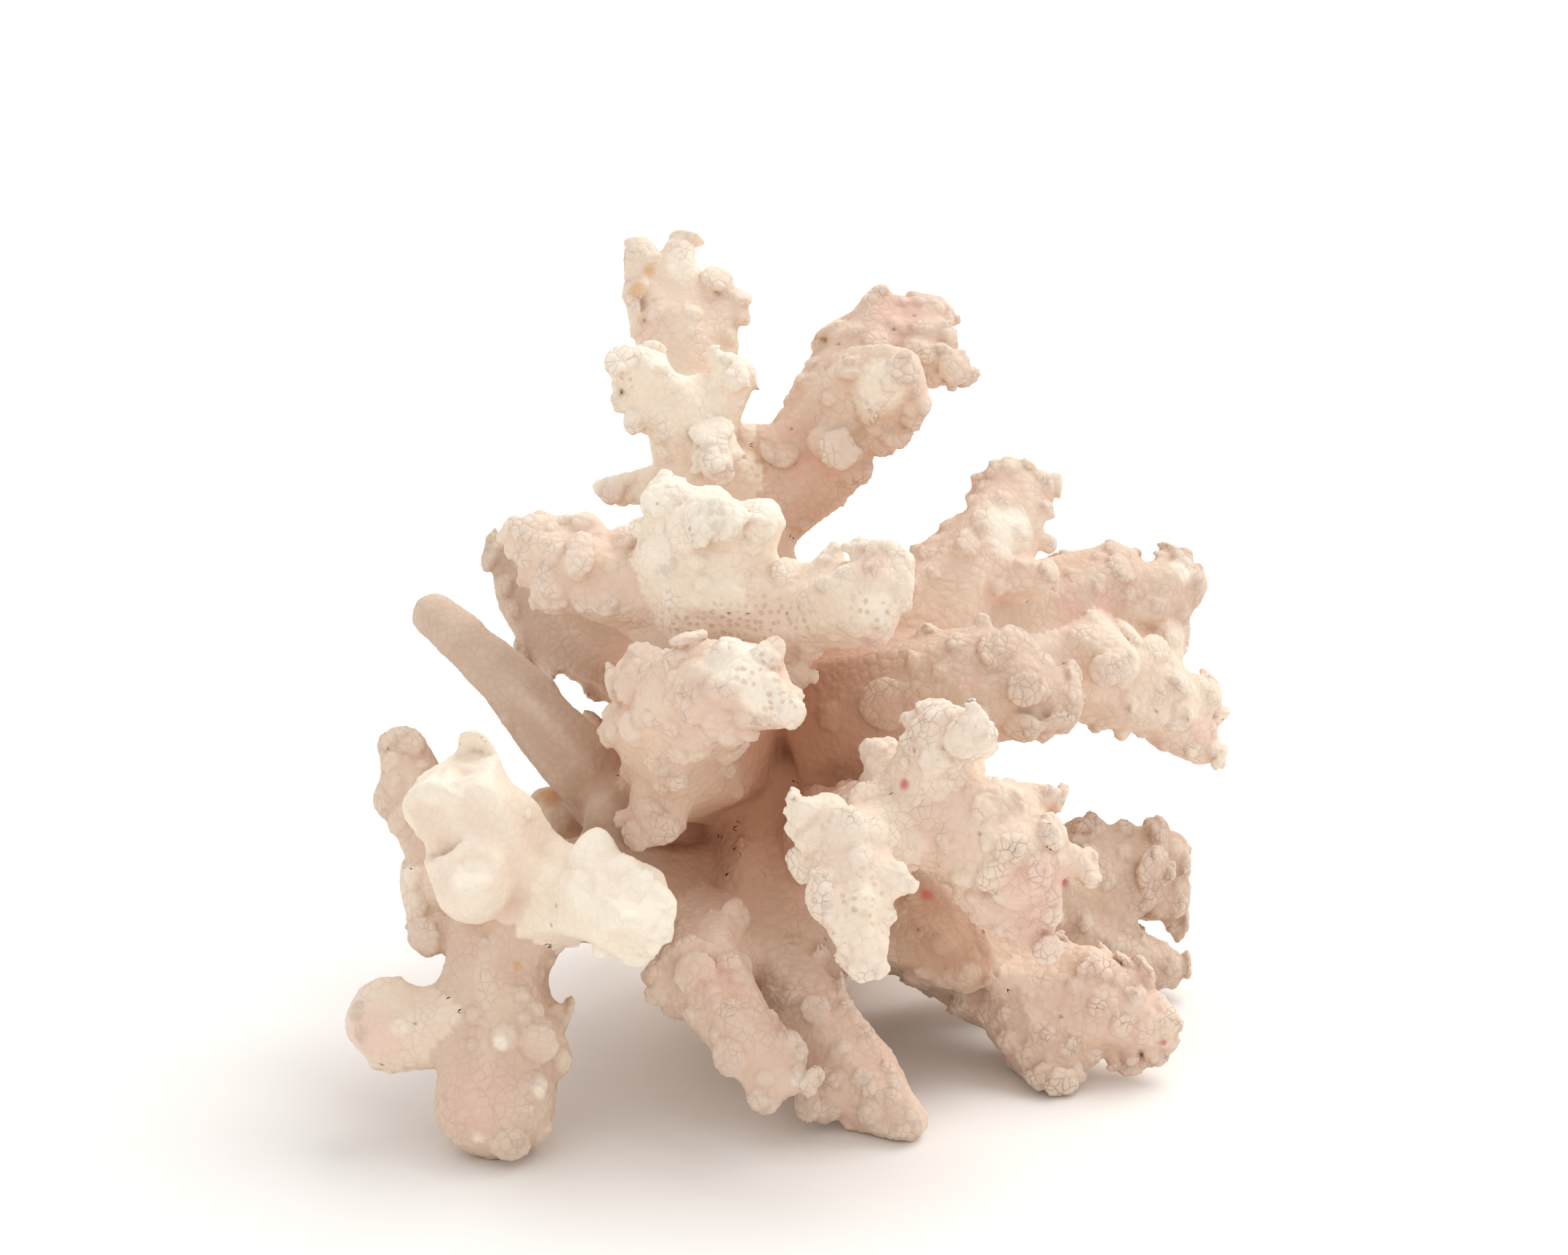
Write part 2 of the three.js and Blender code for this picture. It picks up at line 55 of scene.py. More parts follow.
# The distance field
STEP = 0.5 * MM  # between the points of the field, and of the finished mesh
REACH = 11  # steps that a distance is followed on either side of a surface
MARGIN = 5 * MM  # of field round the solids, for what grows on them
FILLET = 1.1 * MM  # softness of the join between branches
ROUNDING = 0.6 * MM  # over which the edges of the solids are evened out
SWELL = 0.2 * MM  # given back where the evening out has thinned a branch

# The eye
VIEW_TILT = math.radians(14)
VIEW_DISTANCE = 420 * MM
SHEET_MIDDLE = np.array([3.5, -15.2, 58.2]) * MM
VIEW_WIDTH = 215.6 * MM  # of the picture, at the sheet through the coral's middle
SHEET_DEPTH = 75 * MM  # that the coral reaches before and behind that sheet
TO_EYE = np.array([0, -math.cos(VIEW_TILT), math.sin(VIEW_TILT)])

HEART = np.array([0.0, -6.0, 46.0]) * MM  # the branches spread from here
SHADED = np.array([0.0, -15.0, 39.0]) * MM  # painted shade is darkest and reddest round here, where the fan shades the trunk
EDGE_WIDTH = 1.2 * MM  # over which a place is told to be flat or an edge
NUB_MELT = 0.5 * MM  # softness of the join between a nub and its branch
ROD_MELT = 1.6 * MM  # the same for the stout rods
NOTCH_MELT = 0.5 * MM  # the same for the brim of a notch
CHIP_MELT = 0.15 * MM  # the same for the brim of a broken face
CHIP_TILT = 0.2  # how far a broken face leans at random, as a share of its normal
CHIP_SEED = 12
LOW_NUB = 0.9 * MM  # that a nub stands out at most
RIM_WIDTH = 0.35 * MM  # of the dark line round a nub

# Knuckles strewn over all sides: spacing, widths, heights in widths, chances on flat stretches and on
# edges, softness
KNUCKLES = [
    (5.0 * MM, (1.6 * MM, 2.8 * MM), (0.22, 0.34), (0.35, 0.4), 0.6 * MM),
    (2.6 * MM, (0.8 * MM, 1.2 * MM), (0.3, 0.42), (0.03, 0.26), 0.4 * MM),
]

# Relief that is drawn on the finished surface: the scales are cells to the millimetre
KNUCKLE_SCALE = 0.31
KNUCKLE_RISE = 0.35 * MM
BEAD_SCALE = 0.72
BEAD_RISE = 0.2 * MM
PIT_SCALE = 0.9
PIT_DISORDER = 0.6  # from 0, pits in rows, to 1, pits at random
FACET_SCALE = 0.2
FACET_DEPTH = 3.4 * MM  # that a broken face rises over one cell width
PUSH_SCALE = 0.45  # of the noise that pushes the cells about, to the millimetre
PUSH = 1.15  # millimetres that it pushes them at most

# How the colours and the painted shade are laid out, as distances from the heart or from the shaded middle
BLEACHED_FROM = (14 * MM, 34 * MM)
TRUNK_SHADE_WITHIN = (35 * MM, 13 * MM)
CRACK_WIDTH = 0.4 * MM  # over which a place is told to be a crease
HOLLOW_WIDTH = 2.2 * MM  # over which a place is told to be a hollow

# The stage and its light
FLOOR_HALF = 8.0
FLOOR_COLOUR = (0.915, 0.89, 0.86, 1)
ROOM_LIGHT = 0.86
WINDOW_LIGHT = 1.72
WINDOW_WIDTH = math.radians(48)
WINDOW_TURN = (math.radians(-20), math.radians(30), 0)
SENSOR_WIDTH = 36  # millimetres, of the camera

# How knobbly each branch is, from 0, smooth, to 1
KNOBBLY = {
    "trunk": 0.32,
    "crown_stem": 0.4,
    "slender_finger": 0.0,
    "left_column": 0.45,
    "left_up_arm": 0.04,
    "left_broken_arm": 0.0,
    "left_bridge": 0.05,
    "left_low_arm": 0.35,
    "left_back_arm": 0.35,
    "left_back_knob": 0.35,
    "back_stub": 0.1,
    "front_leg": 0.7,
    "front_left_leg": 0.6,
    "front_left_branch": 0.65,
    "fan_middle_branch": 0.55,
    "fan_right_branch": 0.55,
    "fan_left_branch": 0.6,
    "crown_left_branch": 0.6,
    "crown_back_branch": 0.5,
    "crown_right_branch": 0.7,
    "right_mid_branch": 0.7,
    "right_upper_branch": 0.6,
    "right_back_branch": 0.5,
    "right_far_branch": 0.65,
    "right_front_thumb": 0.8,
    "right_shelf": 0.6,
    "back_left_branch": 0.4,
}

# How bleached each branch is at its tips, from -1, tan, through 0, rosy, to 1, cream. The tan side is partly
# the branch's own browner tone and partly painted shade on branches that lie low or in shadow, such as the
# right shelf and the legs
BLEACH_AND_SHADE = {
    "trunk": 0.05,
    "crown_stem": 0.2,
    "slender_finger": -0.95,
    "back_left_branch": -0.8,
    "back_stub": 0.5,
    "left_up_arm": 0.4,
    "left_broken_arm": 0.6,
    "left_bridge": -0.9,
    "left_column": -0.35,
    "left_low_arm": 0.2,
    "left_back_arm": -0.25,
    "left_back_knob": 0.3,
    "front_left_branch": 0.0,
    "front_left_leg": -0.1,
    "front_leg": -0.25,
    "right_front_thumb": 0.3,
    "right_front_branch": 0.05,
    "right_front_finger": 0.3,
    "right_mid_branch": -0.5,
    "right_upper_branch": 0.0,
    "right_back_branch": -0.4,
    "right_far_branch": 0.25,
    "right_shelf": -1.0,
    "right_low_fan": -0.6,
    "right_leg": -0.45,
    "right_low_arm": 0.0,
    "crown_left_branch": 0.55,
    "crown_back_branch": 0.2,
    "crown_right_branch": -0.2,
    "fan_middle_branch": 0.6,
    "fan_left_branch": 0.1,
    "fan_right_branch": 0.3,
}

# Nubs that stand out on each branch, as the eye sees them: right and up on the sheet through the coral's
# middle, and radius, in millimetres
NUBS = {
    "crown_back_branch": [
        (-9.2, 47.9, 1.9), (-7.6, 46.2, 1.5), (-5.8, 45.4, 1.6), (-5.8, 43.0, 1.4),
        (-7.6, 40.4, 1.5), (-20.4, 46.3, 1.8), (-20.2, 41.0, 1.5), (-12.4, 43.4, 1.5), (-17.6, 43.6, 1.6),
    ],
    "crown_left_branch": [
        (-22.4, 36.8, 2.0), (-19.6, 37.4, 1.6), (-17.4, 36.0, 1.4), (-9.2, 36.8, 1.5), (-7.6, 36.9, 1.3),
        (-6.8, 34.2, 1.6), (-23.0, 33.0, 1.2), (-22.6, 30.6, 1.2),
        (-20.8, 28.2, 1.6), (-17.0, 26.5, 1.5), (-12.0, 24.2, 1.2), (-9.5, 22.4, 1.4), (-6.9, 24.0, 1.3),
        (-10.0, 27.0, 2.5), (-9.4, 25.2, 1.6), (-25.1, 19.2, 1.3), (-23.6, 18.9, 1.7), (-21.5, 20.4, 1.3),
        (-22.5, 17.4, 1.2), (-19.6, 17.8, 1.2),
    ],
    "crown_right_branch": [
        (13.4, 46.4, 1.1), (11.6, 45.2, 1.1), (16.4, 44.8, 1.2), (18.6, 44.9, 1.2), (21.2, 44.2, 1.2),
        (22.6, 42.2, 1.3), (22.8, 40.2, 1.4), (22.0, 38.0, 1.6), (23.4, 35.8, 2.0), (20.6, 34.0, 1.7),
        (19.0, 31.2, 1.7), (17.6, 28.6, 1.6), (15.8, 26.8, 1.3), (13.6, 24.0, 1.0),
        (11.6, 21.8, 1.1), (9.2, 19.8, 1.1), (9.8, 41.0, 1.3), (7.2, 40.4, 1.5), (5.0, 39.0, 1.5),
        (3.9, 36.4, 1.3), (2.3, 33.9, 1.2), (0.8, 31.4, 1.2), (-0.2, 29.4, 1.1), (7.4, 24.4, 2.3),
        (9.8, 24.2, 2.1), (16.5, 35.5, 1.9), (18.0, 30.5, 1.6), (12.6, 39.6, 1.6), (15.6, 41.8, 1.5),
        (9.0, 35.5, 1.6), (12.4, 27.4, 1.4), (19.5, 37.6, 1.5), (14.6, 33.6, 1.3), (6.0, 31.6, 1.3),
        (18.8, 41.3, 1.3),
    ],
    "fan_middle_branch": [
        (-17.6, 17.4, 1.8), (-15.2, 18.0, 1.6), (-12.6, 17.5, 1.8), (-9.4, 16.8, 1.7), (-6.2, 15.6, 1.7),
        (-3.0, 13.9, 1.7), (-4.2, 11.2, 1.3), (-20.2, 13.8, 1.3), (-10.8, 14.7, 2.3), (-8.8, 14.7, 2.2),
        (-13.8, 13.5, 2.3), (-16.5, 8.8, 1.6), (-13.6, 8.4, 1.5), (-11.2, 6.2, 1.4), (-18.8, 11.0, 1.3),
    ],
    "fan_left_branch": [
        (-36.2, 13.2, 1.4), (-34.6, 14.3, 1.5), (-32.2, 13.7, 1.2), (-30.0, 14.8, 1.5), (-27.6, 14.7, 1.5),
        (-26.4, 13.2, 1.2), (-28.0, 11.6, 1.6), (-28.0, 9.4, 1.7), (-28.4, 7.6, 1.3), (-33.5, 5.8, 1.5),
        (-31.5, 10.2, 1.4), (-24.2, 8.6, 1.3), (-31.0, 3.6, 1.3), (-28.0, 2.9, 1.2), (-24.5, 2.4, 1.2),
        (-36.0, 9.4, 1.3),
    ],
    "fan_right_branch": [
        (7.2, 11.0, 1.0), (5.8, 9.4, 1.1), (10.2, 10.2, 1.2), (12.4, 11.0, 1.3), (15.0, 11.0, 1.4),
        (17.0, 9.4, 1.3), (16.4, 5.4, 1.4), (15.8, 3.0, 1.3), (13.6, 0.6, 1.3), (5.0, 6.0, 1.1),
        (1.4, -6.8, 2.1), (3.2, 3.0, 1.2), (9.6, -0.3, 1.4), (6.8, -1.0, 1.2), (3.2, -2.6, 1.2),
        (8.4, 7.8, 1.1), (12.2, 8.4, 1.2),
    ],
    "front_left_branch": [
        (-20.6, -7.6, 2.3), (-18.4, -4.4, 1.8), (-16.8, -4.2, 1.4), (-12.5, -10.6, 2.0), (-12.4, -7.2, 2.1),
        (-8.4, -13.0, 2.4), (-6.8, -14.8, 1.3), (-24.0, -11.6, 1.3), (-22.8, -7.6, 1.2), (-23.4, -14.6, 1.3),
        (-7.6, -2.8, 2.0), (-2.4, -4.4, 1.7), (-1.6, -7.4, 1.3), (1.2, -12.0, 1.6), (1.4, -10.6, 1.2),
        (-0.4, -9.8, 1.3), (-11.6, -17.2, 1.6), (-14.4, -17.4, 1.5), (-17.4, -18.8, 1.6), (-14.6, -21.4, 1.5),
        (-17.0, -22.0, 1.3), (-20.8, -14.8, 1.8), (-18.4, -12.6, 1.3), (-20.4, -28.8, 1.7),
        (-17.0, -27.6, 1.9), (-22.2, -26.4, 1.3), (-21.6, -20.4, 1.3), (-18.6, -25.4, 1.6),
        (-15.4, -13.6, 1.4), (-5.2, -12.4, 1.5),
    ],
    "back_left_branch": [(-38.4, 11.4, 1.7), (-39.2, 9.2, 1.6), (-38.6, 6.0, 1.6), (-37.4, 2.4, 1.4)],
    "right_upper_branch": [
        (18.4, 10.8, 1.3), (20.8, 11.8, 1.3), (22.6, 14.2, 1.4), (25.8, 17.2, 1.4), (27.6, 19.4, 1.4),
        (29.0, 21.6, 1.3), (31.0, 22.3, 1.3), (33.6, 22.4, 1.3), (35.6, 20.8, 1.2), (36.6, 19.6, 1.1),
        (36.2, 16.3, 1.3), (36.2, 11.5, 1.4), (36.4, 7.8, 1.6), (33.0, 8.8, 1.3), (29.6, 5.6, 1.3),
        (27.4, 14.8, 1.5), (30.4, 17.6, 1.4), (32.6, 13.2, 1.3), (24.6, 10.4, 1.3), (21.0, 7.4, 1.3),
    ],
    "right_back_branch": [
        (43.6, 9.6, 1.3), (45.8, 10.4, 1.7), (54.8, 9.4, 1.8),
        (56.6, 7.2, 1.3), (57.2, 5.2, 1.2), (56.6, 3.4, 1.1), (55.0, 1.9, 1.2), (51.6, 3.2, 1.3),
        (47.4, 4.6, 1.4), (43.4, 5.6, 1.3), (39.6, 7.4, 1.2),
    ],
    "right_far_branch": [
        (53.4, -1.4, 1.4), (51.4, -3.0, 1.1), (53.4, -4.6, 1.1), (57.2, -7.6, 1.7), (59.2, -9.4, 1.3),
        (59.6, -11.6, 1.2), (59.0, -14.0, 1.2), (59.2, -16.8, 1.4), (56.2, -17.0, 1.3), (52.2, -16.4, 1.1),
        (49.4, -14.6, 1.2), (46.4, -14.6, 1.2), (43.6, -13.6, 1.2), (48.0, -2.0, 1.3), (44.0, -6.0, 1.8),
        (42.5, 1.5, 1.2), (52.0, -9.0, 1.2), (55.4, -12.4, 1.3), (47.6, -9.8, 1.4),
    ],
    "right_mid_branch": [
        (19.3, -0.9, 1.3), (24.0, -2.2, 1.6), (31.8, -2.8, 2.5), (29.6, -3.2, 2.3), (27.3, 0.8, 1.2),
        (14.0, -10.5, 2.8), (34.3, -13.0, 1.5), (36.0, -4.6, 1.5), (39.0, -6.4, 1.4), (39.8, -9.0, 1.4),
        (37.6, -11.6, 1.3), (22.0, -6.0, 1.4), (6.6, -12.4, 1.6), (27.4, -12.6, 1.3), (18.0, -5.2, 1.3),
        (33.4, -7.6, 1.4), (36.2, -14.2, 1.3), (38.6, -13.8, 1.2),
    ],
    "right_front_finger": [
        (17.6, -12.4, 1.4), (20.4, -12.2, 1.3), (23.4, -11.8, 1.4), (26.0, -12.4, 1.4), (27.8, -14.0, 1.4),
        (28.2, -16.8, 1.4), (25.2, -15.2, 2.2), (17.0, -15.6, 1.3), (20.4, -18.2, 1.6), (23.4, -19.0, 1.3),
        (18.2, -13.8, 1.2), (16.6, -18.8, 1.1), (12.9, -16.6, 1.2), (22.4, -21.2, 1.1),
    ],
    "right_front_branch": [
        (25.6, -22.9, 1.1), (27.6, -22.6, 1.1), (30.0, -23.1, 1.1), (32.2, -22.8, 1.0), (37.2, -23.0, 1.1),
        (32.0, -24.8, 0.9), (38.2, -28.8, 1.2), (39.6, -31.0, 1.3), (42.2, -34.4, 1.4), (28.0, -29.8, 1.1),
        (30.2, -30.5, 1.3), (31.8, -31.2, 1.0), (32.4, -35.4, 2.8), (29.4, -34.2, 2.4), (36.0, -28.4, 1.3),
        (24.6, -34.6, 1.4), (22.4, -30.0, 1.2), (35.4, -43.6, 1.3), (36.8, -39.8, 1.3), (37.2, -36.6, 1.2),
        (33.8, -41.6, 1.3), (26.4, -36.8, 1.3),
    ],
    "right_front_thumb": [
        (3.4, -25.6, 1.7), (6.4, -25.4, 1.5), (1.8, -27.6, 1.5), (8.6, -27.6, 2.1), (4.0, -28.8, 1.9),
        (12.6, -28.0, 1.8), (14.6, -28.6, 1.5), (16.8, -30.8, 1.2), (16.0, -33.2, 1.2), (17.8, -35.6, 1.0),
        (6.2, -34.4, 1.2), (14.4, -39.8, 1.2), (13.4, -43.4, 1.2), (10.6, -47.2, 1.5), (13.2, -47.2, 1.4),
        (8.6, -44.2, 1.1), (10.6, -31.6, 1.4), (3.2, -31.6, 1.3),
    ],
    "right_shelf": [
        (28.0, -47.8, 1.0), (25.4, -47.6, 1.3), (22.8, -47.8, 1.1), (26.0, -45.2, 1.1), (27.6, -43.6, 1.2),
        (26.4, -41.6, 1.2), (24.8, -39.4, 1.1), (17.4, -38.0, 1.2), (18.8, -47.4, 1.2),
    ],
    "right_low_fan": [
        (42.9, -27.3, 1.6), (46.8, -27.9, 1.4), (51.2, -27.8, 1.7), (54.0, -30.4, 1.4), (55.2, -33.0, 1.4),
        (55.4, -36.0, 1.3), (54.4, -38.8, 1.3), (53.4, -41.0, 1.2), (40.6, -29.4, 1.3), (53.6, -46.6, 1.5),
        (51.8, -49.2, 1.2), (50.6, -33.0, 2.6), (50.4, -37.0, 1.8), (47.0, -31.0, 1.5), (44.6, -35.0, 1.4),
        (45.4, -43.8, 1.4), (41.6, -40.6, 1.3),
    ],
    "right_leg": [
        (38.0, -62.6, 1.8), (35.6, -61.6, 1.5), (40.2, -61.4, 1.4), (31.0, -57.0, 1.6), (24.6, -50.6, 1.4),
        (33.6, -59.0, 1.6), (30.4, -53.0, 1.3), (28.0, -48.6, 1.2), (38.8, -58.0, 1.3), (36.4, -56.0, 1.2),
    ],
    "right_low_arm": [
        (53.0, -54.0, 1.6), (52.8, -57.0, 1.2), (50.6, -58.4, 1.3), (47.6, -58.8, 1.2), (45.4, -59.8, 1.1),
        (42.6, -58.8, 1.2), (51.8, -51.8, 1.3), (48.4, -51.0, 1.3), (44.6, -47.4, 1.6), (42.2, -46.8, 1.4),
        (46.4, -48.6, 1.3), (50.4, -55.2, 1.8), (46.6, -54.6, 1.5), (40.2, -49.4, 1.3), (43.0, -52.0, 1.3),
    ],
    "front_leg": [
        (11.2, -55.8, 1.0), (8.8, -52.0, 1.1), (14.4, -60.6, 1.2), (15.3, -62.6, 1.2), (15.0, -64.6, 1.1),
        (17.6, -67.0, 1.2), (18.6, -68.8, 1.2), (16.4, -69.2, 1.1), (4.8, -66.2, 1.4), (6.6, -66.6, 1.2),
        (4.6, -63.6, 1.1), (9.2, -68.4, 1.4), (12.2, -66.8, 1.6), (1.0, -51.0, 1.3), (4.2, -53.2, 1.2),
        (7.8, -58.2, 1.4), (10.6, -61.8, 1.3), (7.2, -62.4, 1.3), (-0.4, -51.8, 1.2), (11.8, -63.8, 1.2),
    ],
    "front_left_leg": [
        (-17.8, -47.4, 1.8), (-17.2, -50.6, 1.5), (-15.4, -52.8, 1.6), (-12.6, -53.4, 1.4),
        (-9.4, -56.2, 1.0), (-13.0, -44.4, 1.7), (-10.8, -44.4, 1.3), (-15.8, -45.2, 1.5), (-7.6, -46.4, 1.5),
        (-6.4, -48.6, 1.2), (-4.4, -53.2, 0.9), (-1.4, -54.8, 1.0), (-0.2, -55.8, 0.9), (2.0, -58.6, 1.1),
        (3.0, -62.6, 1.2), (2.0, -61.2, 1.2), (-3.6, -65.0, 1.4), (-1.8, -65.6, 1.3), (-12.2, -47.4, 2.2),
        (-7.0, -52.0, 1.2), (-9.8, -50.0, 1.2), (-2.6, -62.0, 1.2),
    ],
    "left_column": [
        (-31.1, -53.2, 1.4), (-32.6, -55.2, 1.2), (-30.8, -59.6, 1.5), (-31.6, -61.4, 1.2),
        (-32.2, -63.6, 1.2), (-33.8, -57.4, 2.0), (-32.6, -46.0, 1.3), (-33.6, -47.8, 1.0),
        (-49.4, -42.3, 1.9), (-48.4, -43.2, 1.5), (-42.6, -53.6, 1.4), (-36.0, -54.0, 1.2),
        (-44.8, -54.4, 1.2), (-34.2, -52.6, 1.2), (-33.2, -67.2, 1.1), (-33.8, -69.0, 1.1),
        (-41.6, -70.8, 1.1), (-34.2, -62.8, 1.5), (-38.6, -56.6, 1.6), (-46.6, -66.4, 1.2),
        (-36.2, -50.6, 1.3),
    ],
    "slender_finger": [(-32.6, -7.4, 1.0), (-42.6, 0.2, 1.2), (-38.2, -12.6, 1.3)],
    "left_low_arm": [
        (-57.0, -50.0, 1.6), (-58.2, -53.0, 1.4), (-57.4, -56.0, 1.4), (-56.4, -58.2, 1.2),
        (-54.6, -60.2, 1.5), (-56.0, -59.6, 1.2), (-52.2, -59.6, 1.2), (-54.6, -50.2, 1.2),
        (-51.8, -50.8, 1.0),
    ],
    "left_up_arm": [(-35.6, -25.8, 1.0)],
    "left_broken_arm": [
        (-19.8, -34.2, 1.7), (-17.6, -37.8, 2.2), (-18.0, -41.2, 1.9), (-19.4, -44.4, 1.5),
        (-25.4, -44.6, 1.0), (-29.0, -43.4, 1.0),
    ],
    "left_back_arm": [
        (-54.0, -15.4, 1.6), (-51.6, -16.0, 1.7), (-54.0, -18.8, 1.5), (-55.2, -23.8, 1.6),
        (-54.6, -25.4, 1.3), (-52.8, -15.0, 1.4),
    ],
    "left_back_knob": [(-51.0, -31.0, 1.6), (-51.0, -34.2, 1.6), (-50.6, -38.0, 1.6)],
}

# Notches between the forks of a tip, cut straight back from the eye: half their depth, and right, up and
# radius, in millimetres
NOTCHES = {
    "crown_back_branch": (9, [
        (-17.0, 52.1, 0.5), (-17.0, 52.9, 0.6), (-17.0, 53.9, 0.8), (-17.0, 55.2, 1.2), (-11.3, 51.0, 1.1),
        (-11.2, 53.4, 1.4),
    ]),
    "crown_left_branch": (8, [(-13.2, 37.4, 3.0), (-13.4, 39.6, 3.2)]),
    "right_far_branch": (9, [(56.2, -2.6, 1.4), (58.4, -2.0, 1.6)]),
    "back_left_branch": (8, [
        (-30.2, -7.2, 1.4), (-28.8, -8.4, 1.9), (-27.2, -9.6, 2.3), (-25.6, -11.0, 2.2), (-24.2, -12.4, 1.8),
    ]),
    "right_back_branch": (9, [(50.0, 10.2, 1.4), (50.0, 11.6, 1.9), (50.0, 13.4, 2.4), (56.0, 0.4, 1.1)]),
    "right_low_fan": (9, [(44.9, -26.2, 1.1), (48.9, -26.2, 1.3)]),
    "fan_right_branch": (9, [(8.7, 12.4, 1.0)]),
    "right_upper_branch": (9, [(36.6, 13.8, 1.1), (24.3, 16.7, 1.0)]),
    "right_front_thumb": (9, [(17.6, -33.4, 0.9)]),
}

# Stout rods that thicken a branch or fill a fork: right, up, toward the eye, and radius, in millimetres
RODS = [
    [(-36.4, -8.9, 7, 3.8), (-40.5, -5.0, 6, 3.0), (-44.6, -1.2, 5, 2.8), (-48.0, 1.6, 3, 2.8)],
    [(-50, -55, 28, 4.9), (-53.6, -54.6, 28, 4.9), (-54.6, -52.2, 28, 3.8)],
    [(-5, -26, 1.0, 5.5), (-4, -34, 3.0, 6.5), (-4.5, -42, 5.0, 6.5)],
    [(0.5, -23, 0.0, 5.5), (0.5, -32, 2.0, 6.5), (1, -41, 4.5, 6.5)],
    [(-32.2, -25.4, 1, 3.5), (-28.0, -26.0, -3, 4.0)],
    [(-19.7, 48.5, -32.2, 2.3), (-19.7, 51.6, -32.2, 2.2)],
    [(-14.6, 48.5, -32.2, 2.4), (-14.3, 51.5, -32.2, 2.3)],
    [(-4.5, 25.6, -19.5, 2.6), (-1.0, 25.0, -18.5, 2.6)],
    [(-16.0, 9.4, 17.4, 3.8), (-8.0, 9.8, 18.0, 3.8)],
    [(-41.4, -65.2, 30.5, 6.2), (-38.6, -65.6, 30.5, 6.2)],
    [(-43.8, -31.5, 33.5, 5.2), (-43.0, -35.5, 33.8, 4.6)],
]

# Flat broken faces: right, up, radius and depth, in millimetres
CHIPS = [
    (-47.0, -21.0, 8.0, 0.9), (-49.8, -24.5, 7.0, 0.8), (-22.5, -34.0, 8.0, 1.0), (-18.6, -38.2, 9.0, 1.4),
    (-17.6, -43.0, 8.0, 1.2),
]

# Patches of colour, of painted shadow and of pits: right, up and radius, in millimetres
CREAM_PATCHES = [
    (-22, 36, 3.5), (-14, 50, 4), (13, 33, 5), (31, 13.5, 5), (55, 8, 2.6), (13, 2.5, 4), (-6.5, -4, 6),
    (0.8, -11.5, 3.4), (-3, -9, 4), (-20, -39, 6.5), (-25.5, -29.5, 3.5), (-48, -22, 4), (-43, -34.5, 4),
    (-32, -26, 4), (25.5, -48, 2.4), (-39, -57, 1.5), (-33.5, -63.5, 1.8), (-42, -70, 1),
    (2.3, -62.3, 1.6), (28, -17, 2), (-8.5, 35, 4), (-53, -55, 1.6),
]
BLUSH_PATCHES = [
    (-43.5, -65.5, 6), (-56, -55.5, 4.5), (35, -36, 5.5), (34, -42, 3.2), (38, -34, 2.2),
    (39, 2.3, 3.4), (44, 4, 2.6), (12, -2, 2), (16, 43, 4.5), (4, 22, 4.5), (-24, 18, 2.8), (9.5, -68, 2.5),
    (-9, -49, 4), (12, 9, 3.2), (58, -14, 3), (26, -8, 1.6), (1, 27, 3),
]
CRIMSON_SPOTS = [(16.6, -21.6, 0.9), (19.5, -36.8, 0.9), (52.2, -57, 0.6), (38.4, -34.9, 0.8)]
OCHRE_PATCHES = [
    (-18.5, 49, 1.4), (-20.3, 46.5, 1.8), (-36.8, -46.5, 0.9), (-32, -23, 2.2), (40.5, -34.8, 1.2),
]
PITTED_PATCHES = [
    (-14, 0, 4.5), (-8, 0.5, 4.5), (-3, 1.5, 4), (2, 1, 3), (12, 2.5, 3.6), (-3, -6, 4.2), (-1, -10, 3),
    (11, -38, 4.5), (-21.5, 34.5, 2.2), (-2, 22, 3.6), (11, 29, 3), (16, -40, 2.4),
]
# Painted shadow on the right shelf, which lies in shade
PAINTED_SHADOW_PATCHES = [(22, -40, 9), (26, -45, 6)]
BROKEN_PATCHES = [
    (-20, -39, 7), (-17.5, -43, 4.5), (-23.5, -33, 5), (-47, -21.5, 5.5), (-44, -34, 5), (-49, -26, 4),
    (-28, -33, 4),
]
SPECKS = [
    (-7.5, 2.1), (0.6, 2.0), (-12.9, 13.8), (-17.4, 16.8), (1.0, 27.3), (-1.8, 22.4), (17.8, 42.8),
    (15.2, 41.2), (7.4, 38.9), (8.2, 37.0), (51.3, -11.4), (-31.2, -38.0), (-32.0, -41.0), (-51.0, -54.3),
    (27.0, -28.3), (5.6, -42.8), (18.5, -41.5), (38.3, -53.3), (18.0, -17.2),
]
RED_SPECKS = [(-55.5, -60.0), (-55.1, -60.1)]


def smooth(low, high, value):
    """0 below low, 1 above high and an even S between them."""
    share = np.clip((value - low) / (high - low), 0, 1)
    return share * share * (3 - 2 * share)


def unit(vectors):
    """The vectors divided by their lengths."""
    return vectors / np.maximum(np.linalg.norm(vectors, axis=1, keepdims=True), 1e-9)


def solid_arrays(node):
    """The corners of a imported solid, each once, and its triangles."""
    mesh = node.data
    corners = np.empty(len(mesh.vertices) * 3, np.float32)
    mesh.vertices.foreach_get("co", corners)
    mesh.calc_loop_triangles()
    triangles = np.empty(len(mesh.loop_triangles) * 3, np.int32)
    mesh.loop_triangles.foreach_get("vertices", triangles)
    corners = corners.reshape(-1, 3)
    same = np.round(corners / (0.001 * MM)).astype(np.int64)
    _, first, merged = np.unique(same, axis=0, return_index=True, return_inverse=True)
    return corners[first], merged.reshape(-1)[triangles].reshape(-1, 3).astype(np.uint32)


